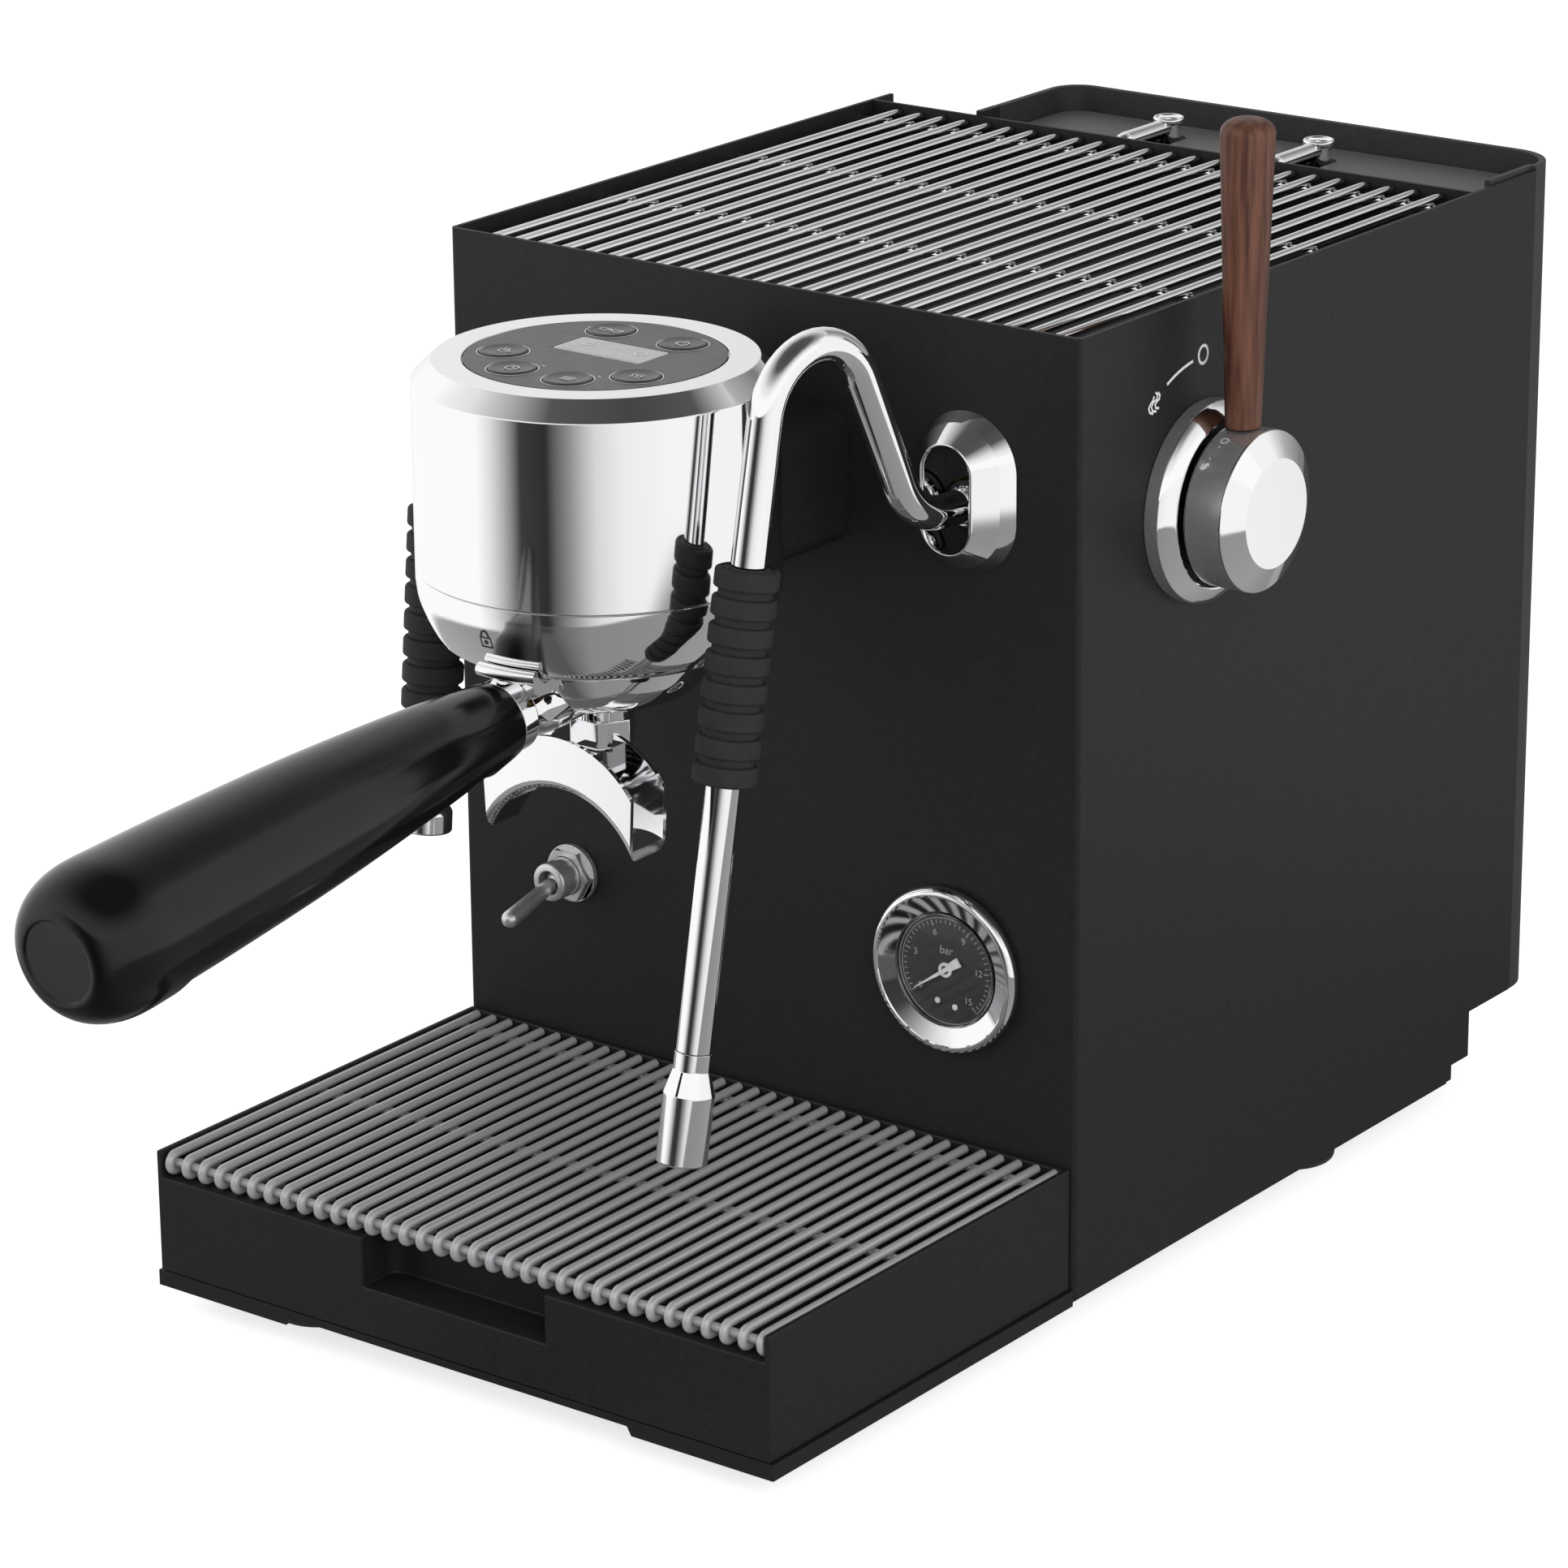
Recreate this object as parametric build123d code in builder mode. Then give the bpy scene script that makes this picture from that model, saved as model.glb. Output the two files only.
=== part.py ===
from build123d import *
from math import atan2, cos, degrees, radians, sin, tan
import os

# Compact single-group espresso machine with two wands, a pressure gauge and a rear water tank.
# Millimetres, +Z up. The counter is z = 0 and the origin is under the middle of the machine's box.

# Overall sizes
body_w = 250.0
body_d = 234.0
body_h = 320.0
foot_h = 10.0
sheet = 1.5
bend_r = 2.0
seat = 0.2
run = 0.3

# Reach of the side knob and place of the front panel in the frame
knob_reach = 28.2
front_y = 17.4
mid_x = -knob_reach / 2
left_x = mid_x - body_w / 2
right_x = mid_x + body_w / 2
rear_y = front_y + body_d
base_z = foot_h
top_z = base_z + body_h

# Base pan, feet and casing edges
pan_h = 5.4
pan_cut_w = 144.0
pan_cut_h = 2.9
foot_r = 17.0
foot_taper = 1.5
foot_front_x = 84.5
foot_front_y = 127.0
foot_in = 25.0
foot_rear_x = body_w / 2 - foot_in
foot_rear_y = 168.0
side_lift = 2.0
dock_d = 11.0
dock_lift = 7.4
tank_lift = 24.0
side_tail = 27.0
side_reach = body_d + dock_d + side_tail

# Cup tray and its wire grid
ledge_drop = 7.9
ledge_w = 9.0
basin_depth = 18.0
cup_rods = 27
cup_rod_r = 1.6
cup_rod_margin = 9.0
cup_cross_rods = 4
weld = 0.15

# Drip tray and its wire grid
tray_d = 159.6
tray_inset = 1.2
tray_wall = 2.0
tray_h = 41.8
tray_front_drop = 8.9
tray_flange = 8.0
notch_w = 74.0
notch_h = 16.5
notch_d = 16.0
notch_r = 5.0
wire_count = 37
wire_r = 1.5
wire_margin = 3.4
hairpin_r = 2.8
hairpin_leg = 12.0
drip_cross_r = 1.45
drip_cross_rods = 3
rail_w = 3.4

# Group: axis ahead of the front panel, heights above the pan's underside, hung from the casing's top
group_out = 79.7
group_r = 57.0
group_wall = 2.0
group_drop = 6.6
cover_h = 65.7
skirt_h = 23.3
group_top = body_h - group_drop
bevel_drop = 6.1
ring_r = 50.6
panel_r = 40.7
panel_t = 3.2
ledge_in = 3.0
ledge_t = 1.8
seam_z = group_top - cover_h
skirt_z = seam_z - skirt_h
skirt_edge_in = 7.6
skirt_mouth_r = 42.0
neck_w = 73.6
neck_h = 45.0
neck_below = 7.7
neck_z = seam_z - neck_below
neck_r = 7.0
spigot_w = 44.0
spigot_up = 15.8
spigot_z = seam_z + spigot_up
spigot_h = 20.5
waist_r = 44.0

# Control panel
button_r = 7.6
button_ring = 29.0
button_proud = 0.6
button_travel = 1.0
button_skirt = 0.9
button_angles = {"back_right": 61, "back_left": 119, "left": 206, "front_left": 248, "front_right": 292,
                 "right": 334}
screen_w = 34.0
screen_d = 15.5
screen_t = 1.2
screen_back = 7.5
board_t = 1.6

# Bayonet, basket and portafilter
lip_up = 3.0
lip_z = skirt_z + lip_up
lip_t = 4.0
lip_r = 35.3
ear_z = lip_z + lip_t + 2 * seat
ear_h = 5.0
ear_r = 39.4
ear_w = 27.0
unlock = 45.0
rim_r = 34.6
rim_up = 2.4
rim_z = ear_z + ear_h + rim_up
bowl_r = 36.5
bowl_gap = 1.5
bowl_z = skirt_z - bowl_gap
bowl_depth = 20.2
bowl_floor_z = bowl_z - bowl_depth
bowl_wall = 4.0
boss_r = 9.5
boss_h = 4.5
basket_r = 29.8
basket_wall = 0.8
basket_depth = 27.0
basket_rim_t = 0.9
gasket_h = 7.8
handle_below = 8.2
handle_z = bowl_z - handle_below
handle_drop = 5.6
spine_in = 18.0
spine_r = 9.6
lug_start = -95.0
lug_turn = 22.0
lug_r = 55.4
lug_up = 7.6
lug_t = 1.5
collar_start = 44.0
collar_len = 8.0
collar_r = 11.8
grip_end = 247.0
grip_start_r = 12.6
grip_waist_at = 31.0
grip_waist_r = 16.4
grip_belly_at = 83.0
grip_belly_r = 20.7
grip_end_r = 24.4
grip_round = 20.0
grip_disc_r = 13.2
nut_af = 19.0
nut_h = 9.4
spout_forward = 14.5
spout_w = 18.0
spout_wall = 1.5
spout_half = 28.5
spout_h = 35.4
spout_inner_rise = 18.0
spout_end_h = 20.0
spout_below = 1.8
spout_top_z = bowl_floor_z - boss_h - spout_below
spout_low_z = spout_top_z - spout_h

# Wands: corners of each bent tube ahead of and above its ball, and the steam tip's height over the base
wand_out = 83.0
wand_drop = 59.0
wand_z = body_h - wand_drop
ball_r = 8.0
ball_in = 1.0
tube_seat = 2.0
tube_r = 5.5
steam_turn_in = 6.84
steam_stub = 26.3
steam_peak_out = 78.4
steam_peak_up = 116.5
steam_tip_out = 130.9
steam_tip_z = 79.6
steam_knee_r = 22.0
steam_peak_r = 22.0
water_stub = 21.3
water_peak_out = 53.5
water_peak_up = 46.0
water_tip_out = 69.7
water_fall = 122.0
water_knee_r = 14.0
water_peak_r = 17.0
grip_len = 66.0
grip_rib_r = 10.0
grip_groove_r = 8.4
grip_ribs = 8
grip_groove_w = 2.4
steam_grip_from = 117.0
water_grip_from = 61.3
steam_nozzle_len = 35.5
water_nozzle_len = 14.0
nozzle_neck = 5.6
nozzle_flare = 7.7
nozzle_r = 8.0
escutcheon_w = 37.0
escutcheon_h = 52.0
escutcheon_side = 4.8
side_lean = 30.0
escutcheon_t = 12.2
bevel_lean = 40.0
escutcheon_up = 4.0
slot_w = 16.8
slot_h = 34.6
pocket_w = 22.0
pocket_d = 8.5
socket_r = 13.0
socket_d = 18.0

# Steam lever on the right side
lever_y = 68.0
lever_drop = 66.6
lever_z = body_h - lever_drop
plate_r = 32.7
plate_hole_r = 26.6
plate_side = 5.2
plate_t = 9.0
knob_r = 26.0
knob_back = 1.0
knob_hub_r = 22.0
knob_gap = 0.8
knob_band = 24.0
knob_face_r = 17.6
lever_out = 15.2
lever_len = 98.6
lever_base_r = 5.7
lever_top_r = 8.7
lever_dome = 5.2
lever_peg_r = 3.0
lever_peg = 10.0
spindle_r = 4.0
spindle_len = 26.0
spindle_fit = 0.05
valve_r = 13.0
valve_len = 42.0

# Toggle switch and gauge on the front panel
low_row_z = 105.5
toggle_out = 78.0
washer_r = 10.0
washer_t = 2.0
toggle_nut_af = 16.4
toggle_nut_t = 3.0
bushing_r = 6.6
bushing_len = 14.0
bat_pivot = 9.0
bat_ball_r = 3.6
bat_len = 29.0
bat_root_r = 1.9
bat_tip_r = 3.0
bat_down = 15.0
switch_w = 14.0
switch_h = 28.0
switch_d = 24.0
gauge_out = 76.4
bezel_r = 28.0
bezel_t = 5.4
bezel_lip = 1.6
bezel_foot = 2.4
dish_r = 25.2
dial_r = 19.0
dial_t = 0.8
dial_in = 1.9
gauge_can_r = 24.0
gauge_can_d = 30.0
glass_t = 1.0
glass_out = 4.4
needle_len = 14.5
needle_tail = 6.5
needle_w = 2.2
needle_t = 0.8
needle_hub_r = 2.6
needle_pin_r = 0.8
needle_rest = 215.0

# Water tank behind the body
tank_left = 45.5
tank_tail = 20.0
tank_d = side_tail + tank_tail
tank_wall = 2.5
tank_rise = 1.5
deck_depth = 9.0
tank_rim = body_h + tank_rise
tank_deck = tank_rim - deck_depth
tank_corner_left = 12.0
tank_corner_right = tank_tail - 2.0
lid_t = 2.4
lid_bearer = 3.0
pipe_xs = (-22.6, 39.5)
pipe_r = 3.2
pipe_drop_r = 4.3
pipe_ring_r = 5.6
pipe_ring_t = 1.6
pipe_ring_up = 7.5
pipe_ring_z = tank_deck + pipe_ring_up
pipe_in = 25.8
pipe_back = body_d + dock_d + pipe_in
pipe_dock = 5.2
pipe_front = body_d + pipe_dock
pipe_foot_z = 45.0
pipe_slot_w = 12.4

# Inner pieces
boiler_r = 42.0
boiler_wall = 2.5
boiler_lift = 55.0
boiler_gap = 43.4
boiler_h = lever_z - boiler_gap - pan_h - seat - boiler_lift
boiler_x = 30.0
boiler_back = 120.0
boiler_dome = 14.0
boiler_leg_r = 4.0
pump_r = 19.0
pump_len = 84.0
pump_x = -62.0
pump_rear = 144.0
pump_back = body_d - pump_rear
pump_saddle_in = 16.0
pump_saddle_w = 10.0
pump_axis_z = 34.0
pump_nose_r = 7.0
pump_nose = 14.0
valve_w = 34.0
valve_d = 28.0
valve_h = 30.0
coil_r = 13.0
coil_h = 34.0
box_w = 30.0
box_d = 130.0
box_h = 110.0
box_z = 110.0
line_r = 3.0
line_bend = 10.0
feed_run = 22.0
steam_port = 10.0
brew_port_x = 20.0
brew_port_y = 10.0
inlet_w = 27.0
inlet_h = 20.0
inlet_flange = 3.0
inlet_in = 23.0
inlet_out = body_w / 2 - inlet_in
inlet_z = 48.0
screw_r = 3.4
screw_t = 2.0
screw_inset = 28.0


def level(z):
    return Plane.XY.offset(z)


def facing_front(y):
    return Plane.XZ.offset(-y)


def facing_side(x):
    return Plane.YZ.offset(x)


def outline(points):
    Polygon(*points, align=None)


def block(x_span, y_span, z_span, mode=Mode.ADD):
    spans = (x_span, y_span, z_span)
    with Locations(tuple(sum(span) / 2 for span in spans)):
        Box(*(abs(span[1] - span[0]) for span in spans), mode=mode)


def save(piece, name):
    piece.part.label = name
    export_step(piece.part, f"parts/{name}.step")


os.makedirs("parts", exist_ok=True)

# Base pan: a folded plate that carries the body and reaches forward under the drip tray
tray_front_y = front_y - tray_d
inner_half = body_w / 2 - sheet - seat
pan_points = [(left_x, tray_front_y), (right_x, tray_front_y), (right_x, front_y - seat),
              (mid_x + inner_half, front_y - seat), (mid_x + inner_half, rear_y - seat),
              (mid_x - inner_half, rear_y - seat), (mid_x - inner_half, front_y - seat),
              (left_x, front_y - seat)]
with BuildPart() as base_pan:
    with BuildSketch(level(base_z)):
        outline(pan_points)
    extrude(amount=pan_h)
    with BuildSketch(level(base_z)):
        outline(pan_points)
        offset(amount=-sheet, mode=Mode.REPLACE)
    extrude(amount=pan_h - sheet, mode=Mode.SUBTRACT)
    with BuildSketch(facing_front(tray_front_y + sheet)):
        with Locations((mid_x, base_z)):
            Trapezoid(pan_cut_w, pan_cut_h * 2, 60)
    extrude(amount=sheet * 2, mode=Mode.SUBTRACT)
save(base_pan, "base_pan")

# Four rubber feet under the pan's plate
with BuildPart() as rubber_feet:
    foot_tall = foot_h + pan_h - sheet
    foot_spots = [(mid_x + side * foot_front_x, front_y - foot_front_y) for side in (-1, 1)]
    foot_spots += [(mid_x + side * foot_rear_x, front_y + foot_rear_y) for side in (-1, 1)]
    with Locations(*[(x, y, foot_tall / 2) for x, y in foot_spots]):
        Cone(foot_r - foot_taper, foot_r, foot_tall)
save(rubber_feet, "rubber_feet")

# Casing: one sheet folded round the front and both sides
side_z = base_z + side_lift
casing_rear_y = front_y + side_reach
lever_axis_y = front_y + lever_y
lever_axis_z = base_z + lever_z
low_row = base_z + low_row_z
wand_axis_z = base_z + wand_z
wand_xs = {"steam": mid_x + wand_out, "water": mid_x - wand_out}
with BuildPart() as casing_wrap:
    with BuildSketch(level(side_z)) as plan:
        with Locations((mid_x, (front_y + casing_rear_y) / 2)):
            Rectangle(body_w, side_reach)
        fillet(plan.vertices().group_by(Axis.Y)[0], radius=bend_r)
    extrude(amount=top_z - side_z)
    with BuildSketch(level(side_z)) as hollow:
        with Locations((mid_x, (front_y + casing_rear_y) / 2 + sheet)):
            Rectangle(body_w - 2 * sheet, side_reach)
        fillet(hollow.vertices().group_by(Axis.Y)[0], radius=bend_r - sheet)
    extrude(amount=top_z - side_z, mode=Mode.SUBTRACT)
    block((left_x - sheet, mid_x), (rear_y + dock_d, casing_rear_y + sheet), (side_z, top_z), Mode.SUBTRACT)
    block((left_x - sheet, right_x + sheet), (rear_y - seat, casing_rear_y + sheet),
          (side_z, base_z + dock_lift), Mode.SUBTRACT)
    block((left_x - sheet, right_x + sheet), (rear_y + dock_d, casing_rear_y + sheet),
          (side_z, base_z + tank_lift), Mode.SUBTRACT)
    block((mid_x - inner_half - seat, mid_x + inner_half + seat), (front_y - sheet, front_y + sheet + bend_r),
          (side_z, base_z + pan_h + seat), Mode.SUBTRACT)
    with BuildSketch(facing_front(front_y + sheet)):
        with Locations((mid_x + gauge_out, low_row)):
            Circle(gauge_can_r + run)
        with Locations((mid_x - toggle_out, low_row)):
            Circle(bushing_r + run)
        with Locations(*[(x, wand_axis_z) for x in wand_xs.values()]):
            Circle(ball_r + 2 * run)
        with Locations((mid_x, base_z + neck_z + neck_h / 2)):
            Circle(line_r * 2)
    extrude(amount=sheet, mode=Mode.SUBTRACT)
    with BuildSketch(facing_side(right_x - sheet)):
        with Locations((lever_axis_y, lever_axis_z)):
            Circle(spindle_r + run)
    extrude(amount=sheet, mode=Mode.SUBTRACT)
save(casing_wrap, "casing_wrap")

# Rear panel with the boxed dock that the tank stands against
tank_left_x = left_x + tank_left
dock_right_x = right_x - sheet - seat
dock_rear_y = rear_y + dock_d
dock_top_z = base_z + tank_deck
with BuildPart() as rear_panel:
    block((mid_x - inner_half, mid_x + inner_half), (rear_y - sheet, rear_y),
          (base_z + pan_h + seat, top_z))
    block((tank_left_x, dock_right_x), (rear_y, dock_rear_y), (base_z + dock_lift, dock_top_z))
    block((tank_left_x, tank_left_x + tank_wall), (rear_y, dock_rear_y),
          (dock_top_z, base_z + tank_rim))
    block((tank_left_x + sheet, dock_right_x - sheet), (rear_y, dock_rear_y - sheet),
          (base_z + dock_lift, dock_top_z - sheet), Mode.SUBTRACT)
    with BuildSketch(level(dock_top_z)):
        with Locations(*[(mid_x + x, front_y + pipe_front) for x in pipe_xs]):
            Circle(pipe_r + seat)
    extrude(amount=-sheet, mode=Mode.SUBTRACT)
    with BuildSketch(facing_front(rear_y)):
        with Locations((mid_x - inlet_out, base_z + inlet_z)):
            Rectangle(inlet_w + 2 * seat, inlet_h + 2 * seat)
    extrude(amount=sheet, mode=Mode.SUBTRACT)
save(rear_panel, "rear_panel")

# Cup tray: a ledge round the rim and a sunk floor under the wire grid
ledge_z = top_z - ledge_drop
floor_z = ledge_z - basin_depth
tray_half = inner_half
tray_y = (front_y + sheet + seat, rear_y - sheet - seat)
with BuildPart() as cup_tray:
    block((mid_x - tray_half, mid_x + tray_half), tray_y, (ledge_z - sheet, ledge_z))
    block((mid_x - tray_half + ledge_w, mid_x + tray_half - ledge_w),
          (tray_y[0] + ledge_w, tray_y[1] - ledge_w), (floor_z - sheet, ledge_z))
    block((mid_x - tray_half + ledge_w + sheet, mid_x + tray_half - ledge_w - sheet),
          (tray_y[0] + ledge_w + sheet, tray_y[1] - ledge_w - sheet), (floor_z, ledge_z), Mode.SUBTRACT)
save(cup_tray, "cup_tray")

# Cup grid: rods from front to back welded to cross rods that rest on the ledge
cross_z = ledge_z + seat + cup_rod_r
rod_z = cross_z + 2 * cup_rod_r - weld
rod_y = (tray_y[0] + 4 * seat, tray_y[1] - 4 * seat)
rod_pitch = (2 * tray_half - 2 * cup_rod_margin) / (cup_rods - 1)
cross_margin = ledge_w / 2
cross_pitch = (rod_y[1] - rod_y[0] - 2 * cross_margin) / (cup_cross_rods - 1)
with BuildPart() as cup_grid:
    with BuildSketch(facing_front(rod_y[1])):
        with Locations((mid_x, rod_z)):
            with GridLocations(rod_pitch, 1, cup_rods, 1):
                RegularPolygon(cup_rod_r, 8)
    extrude(amount=rod_y[1] - rod_y[0])
    with BuildSketch(facing_side(mid_x - tray_half + seat)):
        with Locations(((rod_y[0] + rod_y[1]) / 2, cross_z)):
            with GridLocations(cross_pitch, 1, cup_cross_rods, 1):
                RegularPolygon(cup_rod_r, 8)
    extrude(amount=2 * (tray_half - seat))
save(cup_grid, "cup_grid")

# Drip tray: an open box with a lower front wall and a finger notch
tray_x = (left_x + tray_inset, right_x - tray_inset)
drip_y = (tray_front_y, front_y - 4 * seat)
drip_z = (base_z + pan_h + seat, base_z + pan_h + seat + tray_h)
front_wall_z = drip_z[1] - tray_front_drop
inner_x = (tray_x[0] + tray_wall, tray_x[1] - tray_wall)
notch_z = front_wall_z - notch_h
wire_low_z = front_wall_z + seat + wire_r
wire_top_z = wire_low_z + 2 * hairpin_r
drip_cross_z = wire_top_z - wire_r - drip_cross_r + weld
rail_z = drip_cross_z - drip_cross_r - seat
bend_y = tray_front_y + seat + wire_r + hairpin_r
rail_front_y = bend_y + hairpin_leg + 2 * wire_r
with BuildPart() as drip_tray:
    block(tray_x, drip_y, drip_z)
    block(inner_x, (drip_y[0] + tray_wall, drip_y[1] - tray_wall), (drip_z[0] + tray_wall, drip_z[1]),
          Mode.SUBTRACT)
    block(inner_x, (drip_y[0], drip_y[0] + tray_wall), (front_wall_z, drip_z[1]), Mode.SUBTRACT)
    block(inner_x, (drip_y[0], drip_y[0] + tray_flange), (front_wall_z - tray_wall, front_wall_z))
    for edge, inward in ((inner_x[0], 1), (inner_x[1], -1)):
        block((edge, edge + inward * rail_w), (rail_front_y, drip_y[1] - tray_wall), (rail_z - tray_wall, rail_z))
    block((mid_x - notch_w / 2 - tray_wall, mid_x + notch_w / 2 + tray_wall),
          (drip_y[0], drip_y[0] + notch_d + tray_wall), (drip_z[0], front_wall_z))
    with BuildSketch(level(notch_z)) as pocket:
        with Locations((mid_x, drip_y[0] + notch_d / 2)):
            Rectangle(notch_w, notch_d)
        fillet(pocket.vertices().group_by(Axis.Y)[-1], radius=notch_r)
    extrude(amount=notch_h, mode=Mode.SUBTRACT)
save(drip_tray, "drip_tray")

# Drip grid: hairpin wires whose front loops hang over the tray's front wall
wire_back_y = drip_y[1] - tray_wall - 2 * seat
wire_pitch = (inner_x[1] - inner_x[0] - 2 * wire_margin) / (wire_count - 1)
cross_front_y = bend_y
cross_back_y = wire_back_y - 4 * wire_r
with BuildPart() as drip_grid:
    with BuildLine() as hairpin:
        Line((mid_x, wire_back_y, wire_top_z), (mid_x, bend_y, wire_top_z))
        ThreePointArc((mid_x, bend_y, wire_top_z), (mid_x, bend_y - hairpin_r, wire_top_z - hairpin_r),
                      (mid_x, bend_y, wire_low_z))
        Line((mid_x, bend_y, wire_low_z), (mid_x, bend_y + hairpin_leg, wire_low_z))
    with BuildSketch(Plane((mid_x, wire_back_y, wire_top_z), x_dir=(1, 0, 0), z_dir=(0, -1, 0))):
        RegularPolygon(wire_r, 6, rotation=90)
    sweep(path=hairpin.wires()[0])
    first_wire = drip_grid.part
    for index in range(wire_count):
        offset_x = (index - (wire_count - 1) / 2) * wire_pitch
        if abs(offset_x) > 0.001:
            add(first_wire.moved(Location((offset_x, 0, 0))))
    with BuildSketch(facing_side(inner_x[0] + 2 * seat)):
        with Locations(((cross_front_y + cross_back_y) / 2, drip_cross_z)):
            with GridLocations((cross_back_y - cross_front_y) / (drip_cross_rods - 1), 1, drip_cross_rods, 1):
                RegularPolygon(drip_cross_r, 8, rotation=22.5, major_radius=False)
    extrude(amount=inner_x[1] - inner_x[0] - 4 * seat)
save(drip_grid, "drip_grid")

# Group: cover, skirt, head casting and the neck that bolts them to the front panel
group_y = front_y - group_out
group_plane = facing_front(group_y)
group_axis = Axis((mid_x, group_y, 0), (0, 0, 1))
panel_seat_r = panel_r + run
ledge_top = group_top - panel_t - seat
inner_r = group_r - group_wall
flange_r = inner_r - run


def ring(points):
    return [(mid_x + r, base_z + z) for r, z in points]


with BuildPart() as group_cover:
    with BuildSketch(group_plane):
        outline(ring([(group_r, seam_z + seat / 2), (group_r, group_top - bevel_drop), (ring_r, group_top),
                      (panel_seat_r, group_top), (panel_seat_r, ledge_top), (panel_seat_r - ledge_in, ledge_top),
                      (panel_seat_r - ledge_in, ledge_top - ledge_t), (ring_r - group_wall, ledge_top - ledge_t),
                      (inner_r, group_top - bevel_drop - 2.5 * group_wall), (inner_r, seam_z + seat / 2)]))
    revolve(axis=group_axis)
    block((mid_x - spigot_w / 2 - run, mid_x + spigot_w / 2 + run), (group_y, group_y + group_r),
          (base_z + spigot_z - run, base_z + spigot_z + spigot_h + run), Mode.SUBTRACT)
save(group_cover, "group_cover")

skirt_edge_r = group_r - skirt_edge_in
skirt_outer = [(group_r, seam_z - 3.3), (group_r - 2.8, seam_z - 14.5), (skirt_edge_r, skirt_z)]
skirt_inner = [(skirt_mouth_r, skirt_z), (skirt_mouth_r, skirt_z + 1.6), (skirt_edge_r - 2.9, skirt_z + 1.8),
               (group_r - 7.0, seam_z - 18.4), (group_r - 4.8, seam_z - 14), (inner_r, seam_z - 4.2),
               (inner_r, seam_z - seat / 2), (group_r, seam_z - seat / 2), (group_r, seam_z - 3.3)]
with BuildPart() as group_skirt:
    with BuildSketch(group_plane):
        with BuildLine():
            Spline(*ring(skirt_outer), tangents=[(0, -1), (-0.6, -0.8)])
            Polyline(ring(skirt_outer[-1:] + skirt_inner))
        make_face()
    revolve(axis=group_axis)
save(group_skirt, "group_skirt")

head_top = ledge_top - ledge_t - 5.0
block_z = rim_z + 1.4
gasket_in = basket_r - 1.0
gasket_out = rim_r + 3.0
groove_r = ear_r + 2 * run
with BuildPart() as group_head:
    with BuildSketch(group_plane):
        outline(ring([(0, head_top), (flange_r - 5, head_top), (flange_r, head_top - 4), (flange_r, head_top - 11),
                      (waist_r, head_top - 14), (waist_r, seam_z + 14), (flange_r, seam_z + 10),
                      (flange_r, seam_z - 4), (waist_r, seam_z - 7), (waist_r, lip_z), (lip_r, lip_z),
                      (lip_r, lip_z + lip_t), (groove_r, lip_z + lip_t), (groove_r, rim_z),
                      (gasket_out, rim_z), (gasket_out, block_z + gasket_h), (gasket_in, block_z + gasket_h),
                      (gasket_in, block_z), (0, block_z)]))
    revolve(axis=group_axis)
    with BuildSketch(level(base_z + lip_z)):
        with Locations((mid_x, group_y)):
            Circle(groove_r)
            Rectangle(2 * groove_r, ear_w + 2, rotation=-unlock, mode=Mode.INTERSECT)
    extrude(amount=lip_t, mode=Mode.SUBTRACT)
save(group_head, "group_head")

with BuildPart() as group_neck:
    with BuildSketch(facing_front(front_y - seat)):
        with Locations((mid_x, base_z + neck_z + neck_h / 2)):
            RectangleRounded(neck_w, neck_h, neck_r)
    extrude(amount=group_out)
    with Locations((mid_x, group_y, base_z + neck_z + neck_h / 2)):
        Cylinder(group_r + run, neck_h * 2, mode=Mode.SUBTRACT)
    with BuildSketch(facing_front(front_y - seat)):
        with Locations((mid_x, base_z + spigot_z + spigot_h / 2)):
            Rectangle(spigot_w, spigot_h)
    extrude(amount=group_out)
    with Locations((mid_x, group_y, base_z + neck_z + neck_h / 2)):
        Cylinder(waist_r + seat, neck_h * 2, mode=Mode.SUBTRACT)
save(group_neck, "group_neck")

# Seal and water spreader in the head
with BuildPart() as group_gasket:
    with BuildSketch(group_plane):
        outline(ring([(gasket_in + seat, block_z), (gasket_out - seat, block_z),
                      (gasket_out - seat, block_z + gasket_h - seat), (gasket_in + seat, block_z + gasket_h - seat)]))
    revolve(axis=group_axis)
save(group_gasket, "group_gasket")

with BuildPart() as shower_screen:
    with BuildSketch(group_plane):
        outline(ring([(0, block_z - seat), (basket_r - 2.2, block_z - seat), (basket_r - 2.2, block_z - 2.0),
                      (basket_r - 3.4, block_z - 2.8), (5, block_z - 2.8), (4, block_z - 4.2), (0, block_z - 4.2)]))
    revolve(axis=group_axis)
    with BuildSketch(level(base_z + block_z - 2.8)):
        with Locations((mid_x, group_y)):
            with PolarLocations(12, 12):
                Circle(0.9)
            with PolarLocations(20, 20):
                Circle(0.9)
    extrude(amount=1.4, mode=Mode.SUBTRACT)
save(shower_screen, "shower_screen")

# Control panel on top of the group, with six push buttons and a display window
panel_z = base_z + group_top
button_spots = {name: (mid_x + button_ring * cos(radians(turn)), group_y + button_ring * sin(radians(turn)))
                for name, turn in button_angles.items()}
screen_spot = (mid_x, group_y + screen_back)
with BuildPart() as control_panel:
    with BuildSketch(level(panel_z)):
        with Locations((mid_x, group_y)):
            Circle(panel_r)
        with Locations(*button_spots.values()):
            Circle(button_r + run, mode=Mode.SUBTRACT)
    extrude(amount=-panel_t)
    with BuildSketch(level(panel_z)):
        with Locations(screen_spot):
            Rectangle(screen_w + 2 * seat, screen_d + 2 * seat)
    extrude(amount=-screen_t - seat, mode=Mode.SUBTRACT)
save(control_panel, "control_panel")

with BuildPart() as display_window:
    with BuildSketch(level(panel_z)):
        with Locations(screen_spot):
            RectangleRounded(screen_w, screen_d, 1.0)
    extrude(amount=-screen_t)
save(display_window, "display_window")

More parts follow.
